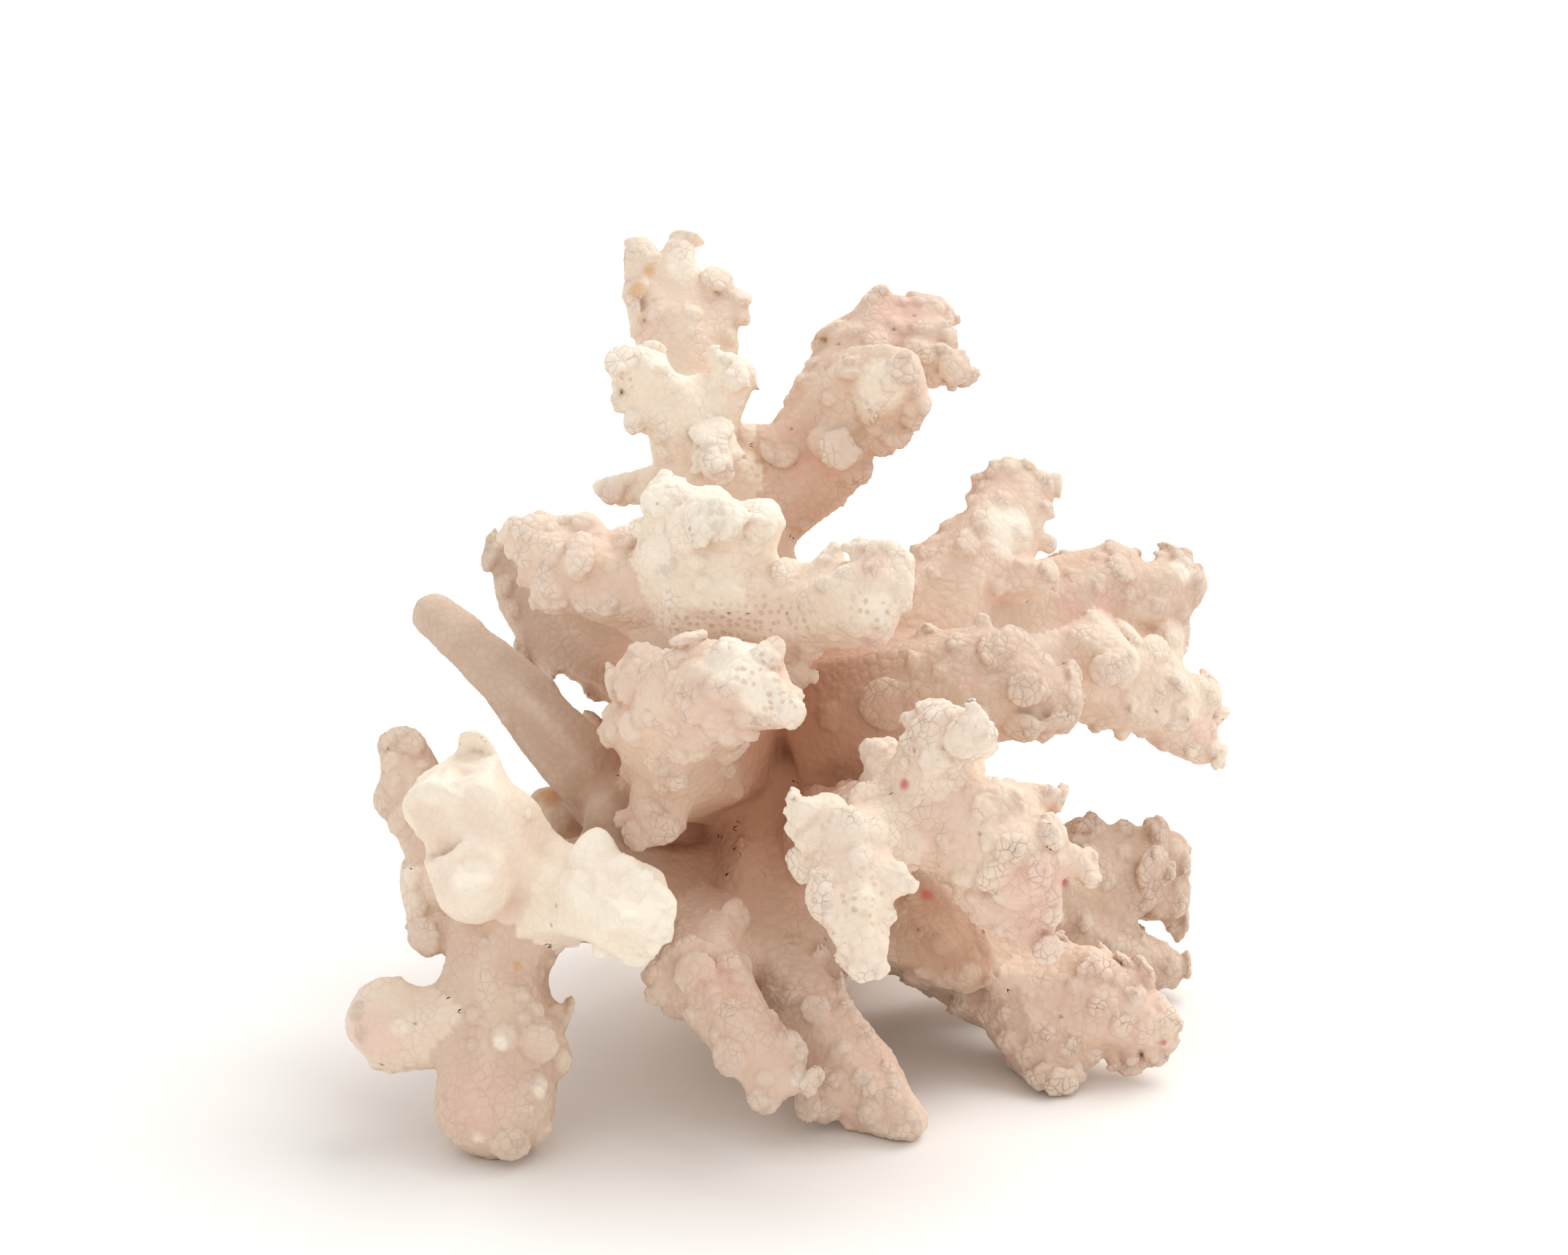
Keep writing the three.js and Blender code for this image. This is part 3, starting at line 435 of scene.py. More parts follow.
class Field:
    """Numbers on an even grid, and where the grid starts."""

    def __init__(self, low, high):
        self.start = np.floor(low / STEP).astype(int)
        self.shape = tuple(np.ceil(high / STEP).astype(int) - self.start + 1)

    def full(self, value, kind=np.float32):
        """The same value at every grid point."""
        return np.full(self.shape, value, kind)

    def part(self, low, size):
        """The slices that a block starting at grid point low takes of the grid, and of the block."""
        low = np.array(low) - self.start
        first = np.maximum(low, 0)
        last = np.minimum(low + size, self.shape)
        whole = tuple(slice(a, b) for a, b in zip(first, last))
        block = tuple(slice(a, b) for a, b in zip(first - low, last - low))
        return whole, block

    def round_place(self, low, high, middle):
        """The slices of the grid between two places, and its offsets from middle there."""
        first = np.floor(low / STEP).astype(int)
        whole, _ = self.part(first, np.ceil(high / STEP).astype(int) - first + 1)
        axes = [(np.arange(s.start, s.stop) + a) * STEP - m for s, a, m in zip(whole, self.start, middle)]
        return whole, np.meshgrid(*axes, indexing="ij", sparse=True)

    def at(self, values, places):
        """The values at places, weighed between the eight grid points round each."""
        spot = places / STEP - self.start
        spot = np.clip(spot, 0, np.array(self.shape) - 1.001)
        cell = spot.astype(int)
        share = (spot - cell).astype(np.float32)
        total = 0
        for corner in np.ndindex(2, 2, 2):
            weight = np.prod(np.where(corner, share, 1 - share), axis=1)
            total = total + weight * values[tuple((cell + corner).T)]
        return total

    def nearest(self, values, places):
        """The value at the grid point closest to each place."""
        cell = np.rint(places / STEP).astype(int) - self.start
        return values[tuple(np.clip(cell, 0, np.array(self.shape) - 1).T)]

    def slope(self, values, places):
        """The direction in which values grows fastest, as unit vectors."""
        sides = []
        for axis in range(3):
            step = np.zeros(3)
            step[axis] = STEP
            sides.append(self.at(values, places + step) - self.at(values, places - step))
        return unit(np.stack(sides, axis=1))


def joined_branches(field, nodes):
    """The distance to all the solids together, and which solid each grid point is nearest to.

    The solids are joined softly: minus FILLET times the logarithm of the sum of exp(-distance / FILLET).
    """
    pull = field.full(0)
    best = field.full(REACH * STEP)
    owner = field.full(-1, np.int16)
    grid = openvdb.createLinearTransform(voxelSize=STEP)
    for number, node in enumerate(nodes):
        corners, triangles = solid_arrays(node)
        level = openvdb.FloatGrid.createLevelSetFromPolygons(
            corners, triangles=triangles, transform=grid, halfWidth=REACH
        )
        low, high = level.evalActiveVoxelBoundingBox()
        distance = np.zeros(np.array(high) - low + 1, np.float32)
        level.copyToArray(distance, ijk=low)
        whole, block = field.part(low, distance.shape)
        distance = distance[block]
        pull[whole] += np.exp(-distance / FILLET)
        nearer = distance < best[whole]
        owner[whole][nearer] = number
        best[whole][nearer] = distance[nearer]
    far = np.exp(-REACH * STEP / FILLET)
    return -FILLET * np.log(np.maximum(pull, far)), owner


def evened(values, width):
    """Each value averaged over a cube of width, three times over, which is close to a round soft average."""
    half = max(1, round(width / STEP))
    span = 2 * half + 1
    for axis in (0, 1, 2) * 3:
        edges = [(0, 0)] * 3
        edges[axis] = (half + 1, half)
        total = np.cumsum(np.pad(values, edges, mode="edge"), axis=axis, dtype=np.float32)
        ahead = [slice(None)] * 3
        behind = [slice(None)] * 3
        ahead[axis] = slice(span, None)
        behind[axis] = slice(None, -span)
        values = (total[tuple(ahead)] - total[tuple(behind)]) / span
    return values


def filling(distance, width):
    """The share of coral in a soft ball of that width round each grid point: a half on a flat surface,
    less on edges and tips, more in hollows."""
    return evened(np.clip(0.5 - distance / STEP, 0, 1), width)


def melted(one, other, melt):
    """The smaller of two distances, rounded over the width melt where they are about equal."""
    share = np.clip(0.5 + 0.5 * (one - other) / melt, 0, 1)
    return one + (other - one) * share - melt * share * (1 - share)


def on_sheet(spot):
    """The place seen at (right, up) and lying toward the eye by the third number, in millimetres.

    What is nearer the eye looks larger, so its real offsets are smaller in the same measure.
    """
    right, up, toward = np.array(spot[:3]) * MM
    nearer = (VIEW_DISTANCE - toward) / VIEW_DISTANCE
    rise = np.array([0, math.sin(VIEW_TILT), math.cos(VIEW_TILT)])
    return SHEET_MIDDLE + right * nearer * np.array([1, 0, 0]) + up * nearer * rise + toward * TO_EYE


def sight(field, distance, spots, mine=None):
    """Where the eye's rays through spots (right, up) on the sheet first meet the coral or one branch of it,
    which is where mine says so, or else where they come nearest; and how far that is from the surface."""
    eye = SHEET_MIDDLE + VIEW_DISTANCE * TO_EYE
    ahead = unit(np.array([on_sheet((*spot[:2], 0)) for spot in spots]) - eye)
    way = np.arange(VIEW_DISTANCE - SHEET_DEPTH, VIEW_DISTANCE + SHEET_DEPTH, 0.5 * STEP)
    places = eye + ahead[:, None, :] * way[None, :, None]
    flat = places.reshape(-1, 3)
    gap = np.maximum(field.at(distance, flat), 0)
    if mine is not None:
        gap = np.where(mine(flat), gap, 1.0)
    gap = gap.reshape(len(spots), -1)
    step = gap.argmin(axis=1)
    rows = np.arange(len(spots))
    return places[rows, step], gap[rows, step]


def add_egg(field, distance, foot, along, radius, tall, melt, rims=None):
    """Joins an egg to the field: the distance to it is k (k - 1) / j, with k the length of the offset
    divided by the egg's radii and j that of the offset divided by their squares.

    Where it meets the old surface, rims goes up to 1, and inside the egg it goes back to 0.
    """
    middle = foot + along * tall * 0.1
    around = max(radius, tall) + 2 * melt
    whole, (x, y, z) = field.round_place(middle - around, middle + around, middle)
    up = x * along[0] + y * along[1] + z * along[2]
    side = np.maximum(x * x + y * y + z * z - up * up, 0)
    k = np.sqrt(side / radius**2 + up * up / tall**2)
    j = np.sqrt(side / radius**4 + up * up / tall**4)
    egg = k * (k - 1) / np.maximum(j, 1e-6)
    old = distance[whole]
    if rims is not None:
        line = np.clip(1 - np.abs(egg - old + 0.1 * MM) / RIM_WIDTH, 0, 1)
        rims[whole] = np.where(egg < old - RIM_WIDTH, 0, np.maximum(rims[whole], line))
    distance[whole] = melted(old, egg, melt)


def rod_gap(x, y, z, way, radius, end_radius):
    """The distance to a round rod along way: that to the nearest place on its axis, at the share t of the
    way, less the radius there, which goes evenly from one end's to the other's."""
    t = np.clip((x * way[0] + y * way[1] + z * way[2]) / (way @ way), 0, 1)
    offset = np.sqrt((x - t * way[0]) ** 2 + (y - t * way[1]) ** 2 + (z - t * way[2]) ** 2)
    return offset - (radius + t * (end_radius - radius))


def add_rod(field, distance, start, end, radius, end_radius, melt, cut=False):
    """Joins a round rod to the field, or cuts it out."""
    around = max(radius, end_radius) + 2 * melt + STEP
    low, high = np.minimum(start, end) - around, np.maximum(start, end) + around
    whole, (x, y, z) = field.round_place(low, high, start)
    gap = rod_gap(x, y, z, end - start, radius, end_radius)
    old = distance[whole]
    distance[whole] = -melted(-old, gap, melt) if cut else melted(old, gap, melt)


def thicken(field, distance, stations):
    """Joins rods from each station (right, up, toward, radius) to the next."""
    for first, second in zip(stations, stations[1:]):
        ends = on_sheet(first), on_sheet(second)
        add_rod(field, distance, *ends, first[3] * MM, second[3] * MM, ROD_MELT)


def place_nubs(field, distance, form, owner, number, spots, rims):
    """Puts a nub at each spot of a branch: a low egg where the eye sees the branch behind the spot, or else
    a rod out from the branch to it."""
    places, gaps = sight(field, form, spots, lambda p: field.nearest(owner, p) == number)
    outward = field.slope(form, places)
    for (_, _, size), place, gap, out in zip(spots, places, gaps, outward):
        radius = size * MM
        if 0.35 * radius < gap < REACH * STEP:
            root = place - out * (gap + 1.3 * radius)
            add_rod(field, distance, root, place, 1.25 * radius, radius, NUB_MELT)
        elif gap <= 0.35 * radius:
            lean = unit((out + 0.3 * unit((place - HEART)[None])[0])[None])[0]
            facing = smooth(0.4, 0.8, out @ TO_EYE)
            wide = radius * (1.0 + 0.35 * facing * smooth(1.2 * MM, 1.8 * MM, radius))
            tall = min(0.5 * radius, LOW_NUB)
            add_egg(field, distance, place, lean, wide, tall, NUB_MELT, rims)


def chip(field, distance, spots):
    """Breaks a flat face off at each spot: the coral is kept on the inner side of a plane that lies the
    spot's depth under the surface, within the spot's radius."""
    places, _ = sight(field, distance, spots)
    outward = field.slope(distance, places)
    tilts = np.random.default_rng(CHIP_SEED).normal(0, CHIP_TILT, outward.shape)
    for (_, _, size, depth), place, normal in zip(spots, places, unit(outward + tilts)):
        around = size * MM
        whole, (x, y, z) = field.round_place(place - around, place + around, place)
        beyond = x * normal[0] + y * normal[1] + z * normal[2] + depth * MM
        away = np.sqrt(x * x + y * y + z * z) - around
        old = distance[whole]
        distance[whole] = -melted(-old, np.maximum(-beyond, away), CHIP_MELT)


def cut_notches(field, distance, form, owner, number, depth, spots):
    """Cuts a round slot at each spot, along the eye's ray, as far before the spot as behind it."""
    places, _ = sight(field, form, spots, lambda p: field.nearest(owner, p) == number)
    eye = on_sheet((0, 0, VIEW_DISTANCE / MM))
    for (_, _, size), place in zip(spots, places):
        back = depth * MM * unit((place - eye)[None])[0]
        add_rod(field, distance, place - back, place + back, size * MM, size * MM, NOTCH_MELT, cut=True)


def strewn(places, spacing):
    """Picks one place in each cell of a grid of that spacing, from places that are in random order."""
    cell = np.floor(places / spacing).astype(int)
    _, first = np.unique(cell, axis=0, return_index=True)
    return np.sort(first)


def strew_knuckles(field, distance, owner, names, rims, spacing, widths, heights, chances, melt):
    """Low eggs on the branches, each at a grid point next to the surface.

    They are taken at random with their branch's share of knobbliness, more often far from the coral's
    heart, and with the first of the chances on flat stretches and the second on tips and edges. There are
    fewer on the sides toward the eye, where the nubs above are.
    """
    close = np.argwhere(np.abs(distance) < 0.5 * STEP)
    places = (close + field.start) * STEP
    places = places[rng.permutation(len(places))]
    places = places[strewn(places + rng.uniform(0, spacing, 3), spacing)]
    share = np.array([KNOBBLY.get(name, 1.0) for name in names])[field.nearest(owner, places)]
    away = np.linalg.norm(places - HEART, axis=1)
    outer = 0.15 + 0.85 * smooth(18 * MM, 40 * MM, away)
    edge = smooth(0.47, 0.36, field.at(filling(distance, EDGE_WIDTH), places))
    chance = chances[0] + (chances[1] - chances[0]) * edge
    chance *= 1 - 0.6 * smooth(-0.1, 0.4, field.slope(distance, places) @ TO_EYE)
    places = places[rng.random(len(places)) < share * outer * chance]
    out = field.slope(distance, places)
    lean = unit(out + 0.35 * unit(places - HEART) + rng.normal(0, 0.15, out.shape))
    radii = rng.uniform(*widths, len(places))
    talls = radii * rng.uniform(*heights, len(places))
    for place, along, radius, tall in zip(places, lean, radii, talls):
        add_egg(field, distance, place, along, radius, tall, melt, rims)


def flooded(open_space):
    """The part of open_space that is reached from the faces of its block, step by step along the axes."""
    wet = np.zeros_like(open_space)
    for axis in range(3):
        for side in (0, -1):
            face = [slice(None)] * 3
            face[axis] = side
            wet[tuple(face)] = open_space[tuple(face)]
    while True:
        wider = wet.copy()
        wider[1:] |= wet[:-1]
        wider[:-1] |= wet[1:]
        wider[:, 1:] |= wet[:, :-1]
        wider[:, :-1] |= wet[:, 1:]
        wider[:, :, 1:] |= wet[:, :, :-1]
        wider[:, :, :-1] |= wet[:, :, 1:]
        wider &= open_space
        if np.array_equal(wider, wet):
            return wet
        wet = wider


def connected(count, one, other):
    """A number for each group of things joined by the pairs: the lowest number in the group."""
    group = np.arange(count)
    while len(one):
        high = np.maximum(group[one], group[other])
        low = np.minimum(group[one], group[other])
        np.minimum.at(group, high, low)
        while not np.array_equal(group, group[group]):
            group = group[group]
        apart = group[one] != group[other]
        one, other = one[apart], other[apart]
    return group


class Net:
    """The surfaces between the differing labels of a field, -1 being the air.

    Each grid cell with differing labels at its corners gets one point, in the middle of where its edges
    cross into the air, or else of where they cross from one branch into another. Each grid edge between
    differing labels gets a quad through the points of the four cells round it.
    """

    def __init__(self, field, distance, label):
        low, high = label, label
        for axis in range(3):
            ahead, behind = self.shifts(axis)
            low = np.minimum(low[ahead], low[behind])
            high = np.maximum(high[ahead], high[behind])
        mixed = low != high
        cells = np.argwhere(mixed)
        number = np.full(mixed.shape, -1, np.int32)
        number[mixed] = np.arange(len(cells))
        into_air = np.zeros((len(cells), 4))
        across = np.zeros((len(cells), 4))
        for axis in range(3):
            for side in np.ndindex(2, 2):
                first = np.insert(np.array(side), axis, 0)
                second = np.insert(np.array(side), axis, 1)
                a = tuple((cells + first).T)
                b = tuple((cells + second).T)
                air = (label[a] < 0) != (label[b] < 0)
                share = distance[a] / np.where(air, distance[a] - distance[b], 1)
                spot = np.repeat(first[None, :].astype(float), len(cells), axis=0)
                spot[:, axis] = np.where(air, np.clip(share, 0, 1), 0.5)
                into_air[:, :3] += spot * air[:, None]
                into_air[:, 3] += air
                inner = ~air & (label[a] != label[b])
                across[:, :3] += spot * inner[:, None]
                across[:, 3] += inner
        total = np.where(into_air[:, 3:] > 0, into_air, across)
        self.corners = (cells + field.start + total[:, :3] / total[:, 3:]) * STEP
        self.outside = into_air[:, 3] > 0
        quads, inner, outer = [], [], []
        for axis in range(3):
            ahead, behind = self.shifts(axis)
            before, after = label[behind], label[ahead]
            edges = np.argwhere(before != after)
            b = np.eye(3, dtype=int)[(axis + 1) % 3]
            c = np.eye(3, dtype=int)[(axis + 2) % 3]
            round_edge = [number[tuple((edges + shift).T)] for shift in (-b - c, -c, 0 * b, -b)]
            quads.append(np.stack(round_edge, axis=1))
            inner.append(before[tuple(edges.T)])
            outer.append(after[tuple(edges.T)])
        self.quads = np.concatenate(quads).astype(np.int64)
        self.inner = np.concatenate(inner)
        self.outer = np.concatenate(outer)
        flip = self.inner < 0
        self.quads[flip] = self.quads[flip, ::-1]
        self.inner[flip], self.outer[flip] = self.outer[flip], -1

    @staticmethod
    def shifts(axis):
        """Slices that leave out the first and the last layer along an axis."""
        ahead = [slice(None)] * 3
        behind = [slice(None)] * 3
        ahead[axis] = slice(1, None)
        behind[axis] = slice(None, -1)
        return tuple(ahead), tuple(behind)

    def skin(self):
        """The quads that face the air."""
        return self.quads[self.outer < 0]

    def piece(self, number):
        """The quads round one label, facing away from it."""
        return np.concatenate([self.quads[self.inner == number], self.quads[self.outer == number][:, ::-1]])


def without_bubbles(field, distance):
    """Fills the closed bubbles in the coral and clears the crumbs that float round it."""
    net = Net(field, distance, np.where(distance < 0, 0, -1).astype(np.int8))
    skin = net.skin()
    group = connected(len(net.corners), skin[:, [0, 1, 2]].reshape(-1), skin[:, [1, 2, 3]].reshape(-1))
    _, group, sizes = np.unique(group, return_inverse=True, return_counts=True)
    cells = np.rint(net.corners / STEP).astype(int) - field.start
    for number in np.nonzero(sizes < sizes.max())[0]:
        own = cells[group == number]
        low = np.maximum(own.min(axis=0) - 2, 0)
        block = tuple(slice(a, b) for a, b in zip(low, own.max(axis=0) + 3))
        part = distance[block]
        air = part >= 0
        part[air & ~flooded(air)] = -0.1 * STEP
        full = part < 0
        part[full & ~flooded(full)] = 0.1 * STEP
    return distance


def corner_normals(corners, quads):
    """Each corner's normal is the mean of those of the quads round it, weighed by their areas."""
    cross = np.cross(corners[quads[:, 2]] - corners[quads[:, 0]], corners[quads[:, 3]] - corners[quads[:, 1]])
    total = np.zeros_like(corners)
    for side in range(4):
        for axis in range(3):
            total[:, axis] += np.bincount(quads[:, side], cross[:, axis], len(corners))
    return unit(total)


def make_mesh(name, corners, quads, normals):
    """A smooth mesh of four-sided faces, shaded by the given normals."""
    mesh = bpy.data.meshes.new(name)
    mesh.vertices.add(len(corners))
    mesh.vertices.foreach_set("co", corners.astype(np.float32).reshape(-1))
    mesh.loops.add(quads.size)
    mesh.loops.foreach_set("vertex_index", quads.astype(np.int32).reshape(-1))
    mesh.polygons.add(len(quads))
    mesh.polygons.foreach_set("loop_start", np.arange(len(quads), dtype=np.int32) * 4)
    mesh.update(calc_edges=True)
    mesh.shade_smooth()
    mesh.normals_split_custom_set_from_vertices(normals)
    return mesh


class Value:
    """A socket whose arithmetic adds Math nodes."""

    def __init__(self, graph, socket):
        self.graph = graph
        self.socket = socket

    def math(self, operation, first, second):
        """One Math node on two values or numbers."""
        return self.graph.add("ShaderNodeMath", {"operation": operation}, {0: first, 1: second})

    def __add__(self, other):
        return self.math("ADD", self, other)

    def __sub__(self, other):
        return self.math("SUBTRACT", self, other)

    def __rsub__(self, other):
        return self.math("SUBTRACT", other, self)

    def __mul__(self, other):
        return self.math("MULTIPLY", self, other)

    __radd__ = __add__
    __rmul__ = __mul__


class Graph:
    """One node tree. Sockets without a name of their own are given by number."""

    def __init__(self, tree):
        self.tree = tree

    def add(self, kind, settings=None, inputs=None, output=0):
        """A node with its settings and its inputs, by name or number, as the value of one of its outputs."""
        node = self.tree.nodes.new(kind)
        for name, value in (settings or {}).items():
            setattr(node, name, value)
        for name, value in (inputs or {}).items():
            if isinstance(value, Value):
                self.tree.links.new(value.socket, node.inputs[name])
            else:
                node.inputs[name].default_value = value
        return Value(self, node.outputs[output]) if len(node.outputs) else None

    def between(self, low, high, value):
        """0 below low, 1 above high and an even S between them."""
        limits = {"Value": value, "From Min": low, "From Max": high}
        return self.add("ShaderNodeMapRange", {"interpolation_type": "SMOOTHSTEP"}, limits)

    def mixed(self, share, first, second):
        """The colour first, or second where share is 1."""
        return self.add("ShaderNodeMix", {"data_type": "RGBA"}, {0: share, 6: first, 7: second}, output=2)

    def noise(self, places, scale, detail=2.0, output=0):
        """A soft noise, as a number from output 0 or as a colour from output 1."""
        inputs = {"Vector": places, "Scale": scale, "Detail": detail}
        return self.add("ShaderNodeTexNoise", None, inputs, output)

    def mark(self, name):
        """A number that the mesh holds at each corner."""
        return self.add("ShaderNodeAttribute", {"attribute_name": name}, output=2)

    def shaken(self, places):
        """Places in millimetres, pushed about a little so that beads and knuckles aren't all alike."""
        millimetres = self.add("ShaderNodeVectorMath", {"operation": "SCALE"}, {0: places, "Scale": 1 / MM})
        push = self.noise(millimetres, PUSH_SCALE, 4.0, output=1)
        push = self.add("ShaderNodeVectorMath", {"operation": "SCALE"}, {0: push, "Scale": PUSH})
        return self.add("ShaderNodeVectorMath", {"operation": "ADD"}, {0: millimetres, 1: push})

    def edges(self, shaken, scale):
        """How far a place lies from the nearest edge between two cells, in cell widths."""
        settings = {"feature": "DISTANCE_TO_EDGE"}
        return self.add("ShaderNodeTexVoronoi", settings, {"Vector": shaken, "Scale": scale})

    def middles(self, shaken, scale):
        """How far a place lies from the nearest middle of rather even cells, in cell widths."""
        inputs = {"Vector": shaken, "Scale": scale, "Randomness": PIT_DISORDER}
        return self.add("ShaderNodeTexVoronoi", None, inputs)


def tone(red, green, blue):
    """A colour given in the 0 to 255 numbers of a screen."""
    screen = np.array([red, green, blue]) / 255
    light = np.where(screen <= 0.04045, screen / 12.92, ((screen + 0.055) / 1.055) ** 2.4)
    return (*light, 1.0)


PEACH = tone(230, 201, 178)
ROSE = tone(223, 186, 165)
CREAM = tone(253, 243, 225)
# Tan: the browner tone of some branches, and painted shade on low and shadowed branches
TAN_AND_SHADE = tone(187, 153, 128)
DUN = tone(190, 154, 130)
PIT = tone(214, 180, 152)
# Painted shade for hollows and for the trunk under the fan
HOLLOW_SHADE = tone(192, 142, 112)
# Dark lines between knuckles and beads, and painted shade in fine creases
CRACK_AND_SHADE = tone(132, 92, 76)
BLUSH = tone(234, 182, 170)
OCHRE = tone(222, 176, 118)
CRIMSON = tone(206, 84, 88)
SPECK = tone(74, 36, 28)
GREY = tone(214, 196, 184)


def coral_material():
    """Peach to rose in soft patches, creamier where it is bleached, tan on browner branches with painted
    shade on shadowed ones, painted shade in hollows, in creases and round the trunk, fine dark lines between
    the knuckles and the beads, tan pits in the pitted patches, and a few stains and specks."""
    material = bpy.data.materials.new("coral_skeleton")
    material.use_nodes = True
    material.node_tree.nodes.clear()
    graph = Graph(material.node_tree)
    places = graph.add("ShaderNodeTexCoord", output=3)
    shaken = graph.shaken(places)
    bead = graph.edges(shaken, BEAD_SCALE)
    knuckle = graph.edges(shaken, KNUCKLE_SCALE)
    middle = graph.middles(shaken, PIT_SCALE)
    knobbly = graph.mark("knobbly")
    crease_shade = graph.mark("crease_shade")
    patchy = graph.between(0.42, 0.62, graph.noise(places, 210.0, 3.0))
    lively = graph.between(0.3, 0.55, graph.noise(places, 900.0, 2.0))
    bead_line = 1 - graph.between(0.0, 0.07, bead)
    bead_edge = 1 - graph.between(0.0, 0.2, bead)
    knuckle_line = 1 - graph.between(0.0, 0.018, knuckle)
    closed = 1 - graph.mark("pitted")
    dark_line = (bead_line * 0.5 + knuckle_line * 0.3) * patchy * knobbly * closed
    pit = (1 - graph.between(0.2, 0.42, middle)) * graph.mark("pitted")
    mottle = graph.between(0.36, 0.68, graph.noise(places, 110.0, 4.0))
    cloudy = graph.between(0.4, 0.62, graph.noise(places, 60.0, 2.0))
    base = graph.mixed(mottle, PEACH, ROSE)
    # Tan, partly the browner tone of some branches and partly painted shade on low and shadowed ones
    base = graph.mixed(graph.mark("tan_and_shade"), base, TAN_AND_SHADE)
    base = graph.mixed(graph.mark("bleach"), base, CREAM)
    base = graph.mixed(graph.mark("edge") * (0.05 + cloudy * 0.2), base, GREY)
    base = graph.mixed(graph.mark("blush") * 0.3, base, BLUSH)
    base = graph.mixed(graph.mark("ochre") * 0.7, base, OCHRE)
    # Painted shade in hollows, round the trunk under the fan and on the shadowed shelf
    base = graph.mixed(graph.mark("shade_in_hollows"), base, HOLLOW_SHADE)
    base = graph.mixed(bead_edge * (0.05 + graph.mark("tan_and_shade") * 0.16), base, DUN)
    base = graph.mixed(pit * 0.6, base, PIT)
    # Painted shade in fine creases
    base = graph.mixed(crease_shade * 0.45, base, CRACK_AND_SHADE)
    base = graph.mixed(graph.mark("rim") * lively * 0.22, base, CRACK_AND_SHADE)
    base = graph.mixed(dark_line, base, CRACK_AND_SHADE)
    base = graph.mixed(graph.mark("crimson") * 0.75, base, CRIMSON)
    base = graph.mixed(graph.mark("speck"), base, SPECK)
    grain = graph.noise(places, 2600.0, 3.0)
    height = graph.between(0.0, 0.3, bead) * (0.2 + knobbly * 0.35) + grain * 0.25 - pit * 0.5
    bump = graph.add("ShaderNodeBump", None, {"Height": height, "Strength": 0.6, "Distance": 0.00025})
    look = {"Base Color": base, "Roughness": 0.8 + grain * 0.14, "Normal": bump, "Specular IOR Level": 0.3}
    shader = graph.add("ShaderNodeBsdfPrincipled", None, look)
    graph.add("ShaderNodeOutputMaterial", None, {"Surface": shader})
    return material


def drawn_patterns(corners):
    """The patterns that the material draws, at each corner: the distances to the edges of beads and of
    knuckles, and a slow noise."""
    mesh = bpy.data.meshes.new("probe")
    mesh.vertices.add(len(corners))
    mesh.vertices.foreach_set("co", corners.astype(np.float32).reshape(-1))
    probe = bpy.data.objects.new("probe", mesh)
    bpy.context.scene.collection.objects.link(probe)
    tree = bpy.data.node_groups.new("probe", "GeometryNodeTree")
    tree.interface.new_socket("Geometry", in_out="INPUT", socket_type="NodeSocketGeometry")
    tree.interface.new_socket("Geometry", in_out="OUTPUT", socket_type="NodeSocketGeometry")
    graph = Graph(tree)
    places = graph.add("GeometryNodeInputPosition")
    shaken = graph.shaken(places)
    patterns = {
        "bead": graph.edges(shaken, BEAD_SCALE),
        "knuckle": graph.edges(shaken, KNUCKLE_SCALE),
        "facet": graph.edges(shaken, FACET_SCALE),
        "patchy": graph.noise(places, 160.0, 2.0),
    }
    stored = graph.add("NodeGroupInput")
    for name, pattern in patterns.items():
        settings = {"data_type": "FLOAT", "domain": "POINT"}
        inputs = {"Geometry": stored, "Name": name, "Value": pattern}
        stored = graph.add("GeometryNodeStoreNamedAttribute", settings, inputs)
    graph.add("NodeGroupOutput", None, {0: stored})
    probe.modifiers.new("patterns", "NODES").node_group = tree
    done = probe.evaluated_get(bpy.context.evaluated_depsgraph_get())
    values = {}
    for name in patterns:
        values[name] = np.empty(len(corners), np.float32)
        done.data.attributes[name].data.foreach_get("value", values[name])
    bpy.data.objects.remove(probe)
    bpy.data.meshes.remove(mesh)
    bpy.data.node_groups.remove(tree)
    return values


def patches(field, distance, corners, spots, wobble):
    """1 on the corners close to the spots that the eye sees, and 0 from their radius on, which wobbles."""
    places, _ = sight(field, distance, spots)
    share = np.zeros(len(corners))
    for (_, _, size), place in zip(spots, places):
        away = np.linalg.norm(corners - place, axis=1) * (1 + 0.9 * (wobble - 0.5))
        share = np.maximum(share, smooth(1.1 * size * MM, 0.45 * size * MM, away))
    return share


def specks(field, distance, corners):
    """The darkness of the corner closest to each speck that the eye sees, and 0 elsewhere."""
    places, _ = sight(field, distance, SPECKS + RED_SPECKS)
    share = np.zeros(len(corners))
    for number, place in enumerate(places):
        share[np.linalg.norm(corners - place, axis=1).argmin()] = 0.6 if number < len(SPECKS) else 1
    return share


def set_camera():
    """The eye, VIEW_DISTANCE before the sheet through the coral's middle and looking straight at it."""
    camera = bpy.data.objects.new("camera", bpy.data.cameras.new("camera"))
    bpy.context.scene.collection.objects.link(camera)
    camera.location = on_sheet((0, 0, VIEW_DISTANCE / MM))
    camera.rotation_euler = (math.pi / 2 - VIEW_TILT, 0, 0)
    camera.data.sensor_width = SENSOR_WIDTH
    camera.data.lens = SENSOR_WIDTH * VIEW_DISTANCE / VIEW_WIDTH
    camera.data.clip_start = 0.01
    camera.data.clip_end = 20
    bpy.context.scene.camera = camera


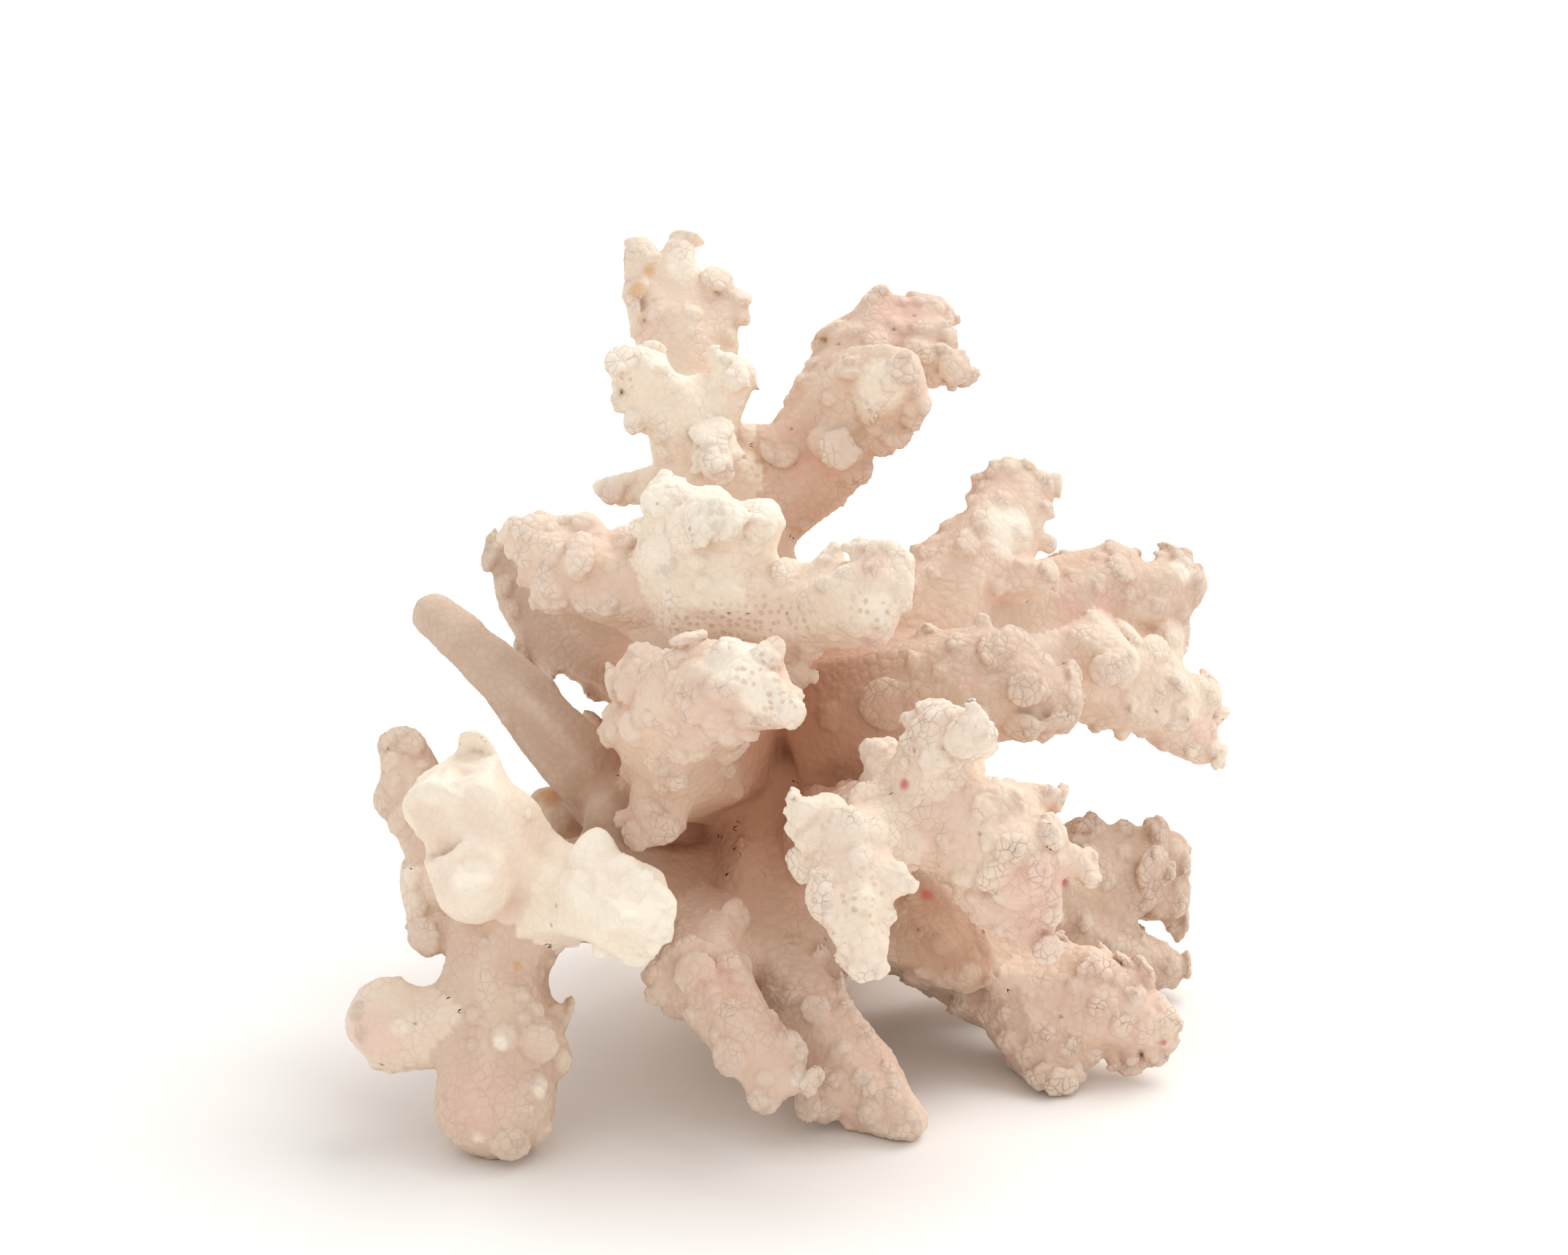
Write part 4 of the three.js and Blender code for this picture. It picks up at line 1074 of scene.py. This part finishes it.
def set_stage():
    """A white floor that fills the view."""
    mesh = bpy.data.meshes.new("floor")
    half = FLOOR_HALF
    corners = [(-half, -half, 0), (half, -half, 0), (half, half, 0), (-half, half, 0)]
    mesh.from_pydata(corners, [], [(0, 1, 2, 3)])
    floor = bpy.data.objects.new("floor", mesh)
    bpy.context.scene.collection.objects.link(floor)
    paint = bpy.data.materials.new("floor_paint")
    paint.use_nodes = True
    look = paint.node_tree.nodes["Principled BSDF"].inputs
    look["Base Color"].default_value = FLOOR_COLOUR
    look["Roughness"].default_value = 0.9
    look["Specular IOR Level"].default_value = 0.1
    mesh.materials.append(paint)


def set_lights():
    """A bright even room, and a wide soft light from above, behind and right."""
    world = bpy.data.worlds.new("studio")
    world.use_nodes = True
    world.node_tree.nodes["Background"].inputs["Color"].default_value = (1, 1, 1, 1)
    world.node_tree.nodes["Background"].inputs["Strength"].default_value = ROOM_LIGHT
    bpy.context.scene.world = world
    sun = bpy.data.lights.new("window", "SUN")
    sun.energy = WINDOW_LIGHT
    sun.angle = WINDOW_WIDTH
    holder = bpy.data.objects.new("window", sun)
    bpy.context.scene.collection.objects.link(holder)
    holder.rotation_euler = WINDOW_TURN
    bpy.context.scene.view_settings.view_transform = "Standard"


def grown_field(names):
    """The field, the distance to the coral with everything grown on it, the dark lines round the nubs and
    knuckles, and each point's nearest branch.
    """
    boxes = np.array([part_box(name) for name in names])
    field = Field(boxes[:, 0].min(axis=0) - MARGIN, boxes[:, 1].max(axis=0) + MARGIN)
    distance, owner = joined_branches(field, [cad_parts[name] for name in names])
    distance = evened(distance, ROUNDING) - SWELL
    form = distance.copy()
    rims = field.full(0)
    for stations in RODS:
        thicken(field, distance, stations)
    for name, spots in NUBS.items():
        place_nubs(field, distance, form, owner, names.index(name), spots, rims)
    for name, (depth, spots) in NOTCHES.items():
        cut_notches(field, distance, form, owner, names.index(name), depth, spots)
    chip(field, distance, CHIPS)
    for kind in KNUCKLES:
        strew_knuckles(field, distance, owner, names, rims, *kind)
    heights = (np.arange(field.shape[2]) + field.start[2]) * STEP
    distance = np.maximum(distance, -heights.astype(np.float32))
    return field, without_bubbles(field, distance), rims, owner


def surface_marks(field, distance, rims, owner, names, corners, patterns):
    """What the material reads at each corner: how bleached and how tan it is, the painted shade in hollows,
    in creases and on shadowed branches, how knobbly it is and so on.
    """
    nearest = np.maximum(field.nearest(owner, corners), 0)
    tip_tone_and_shade = np.array([BLEACH_AND_SHADE.get(name, 0.2) for name in names])[nearest]
    knobbly = np.array([KNOBBLY.get(name, 1.0) for name in names])[nearest]
    outer = smooth(*BLEACHED_FROM, np.linalg.norm(corners - HEART, axis=1))
    fine = field.at(filling(distance, CRACK_WIDTH), corners)
    edge = smooth(0.52, 0.34, field.at(filling(distance, EDGE_WIDTH), corners))
    wide = field.at(filling(distance, HOLLOW_WIDTH), corners)
    wobble = patterns["patchy"]

    def patch(spots):
        return patches(field, distance, corners, spots, wobble)

    # Painted shade: darker and redder round the trunk, where the fan shades it, and on the shadowed shelf
    inner = smooth(*TRUNK_SHADE_WITHIN, np.linalg.norm(corners - SHADED, axis=1))
    painted_shade = np.maximum(0.95 * inner, 0.6 * patch(PAINTED_SHADOW_PATCHES))
    bleach = (np.maximum(tip_tone_and_shade, 0) + 0.2 * edge + 0.2) * outer
    return {
        "bleach": np.clip(np.maximum(bleach, 0.9 * patch(CREAM_PATCHES)), 0, 1),
        # Partly browner tone, partly painted shade on low and shadowed branches
        "tan_and_shade": np.maximum(-tip_tone_and_shade, 0) * smooth(0, 0.6, outer),
        # Painted shade in hollows, round the trunk and on the shadowed shelf
        "shade_in_hollows": np.maximum(smooth(0.54, 0.82, wide), painted_shade),
        # Painted shade in fine creases
        "crease_shade": smooth(0.57, 0.76, fine),
        "knobbly": np.clip(knobbly * (0.15 + 0.85 * outer) * (0.35 + 0.65 * edge) + 0.05, 0, 1),
        "edge": smooth(0.4, 1, edge) * outer * smooth(0.1, 0.5, knobbly),
        "rim": smooth(0.15, 0.8, field.at(rims, corners)) * outer,
        "blush": patch(BLUSH_PATCHES),
        "ochre": patch(OCHRE_PATCHES),
        "crimson": patch(CRIMSON_SPOTS),
        "pitted": patch(PITTED_PATCHES),
        "broken": patch(BROKEN_PATCHES),
        "speck": specks(field, distance, corners),
    }


def coral_pieces():
    """Meshes the grown field, raises the knuckles and beads on it and makes one piece for each branch."""
    names = sorted(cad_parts)
    field, distance, rims, owner = grown_field(names)
    net = Net(field, distance, np.where(distance < 0, owner, -1))
    corners, skin = net.corners, net.skin()
    patterns = drawn_patterns(corners)
    marks = surface_marks(field, distance, rims, owner, names, corners, patterns)
    knuckles = smooth(0.0, 0.34, patterns["knuckle"]) * smooth(0.3, 0.6, patterns["patchy"])
    beads = smooth(0.0, 0.35, patterns["bead"])
    rise = KNUCKLE_RISE * knuckles * marks["knobbly"] + BEAD_RISE * beads * (0.5 + 0.5 * marks["knobbly"])
    facets = FACET_DEPTH * (np.minimum(patterns["facet"], 0.5) - 0.2) * marks["broken"]
    rise = (rise - 0.5 * KNUCKLE_RISE * marks["knobbly"] - facets) * net.outside
    corners = corners + corner_normals(corners, skin) * rise[:, None]
    corners[:, 2] = np.maximum(corners[:, 2], 0)
    inside_normals = corner_normals(corners, net.quads)
    normals = np.where(net.outside[:, None], corner_normals(corners, skin), inside_normals)
    material = coral_material()
    for number, name in enumerate(names):
        used, quads = np.unique(net.piece(number), return_inverse=True)
        mesh = make_mesh(name + "_skeleton", corners[used], quads.reshape(-1, 4), normals[used])
        for word, values in marks.items():
            mark = mesh.attributes.new(word, "FLOAT", "POINT")
            mark.data.foreach_set("value", values[used].astype(np.float32))
        mesh.materials.append(material)
        piece = bpy.data.objects.new(name + "_skeleton", mesh)
        bpy.context.scene.collection.objects.link(piece)
        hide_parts(name)
        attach(piece, "root")


set_camera()
set_stage()
set_lights()
coral_pieces()
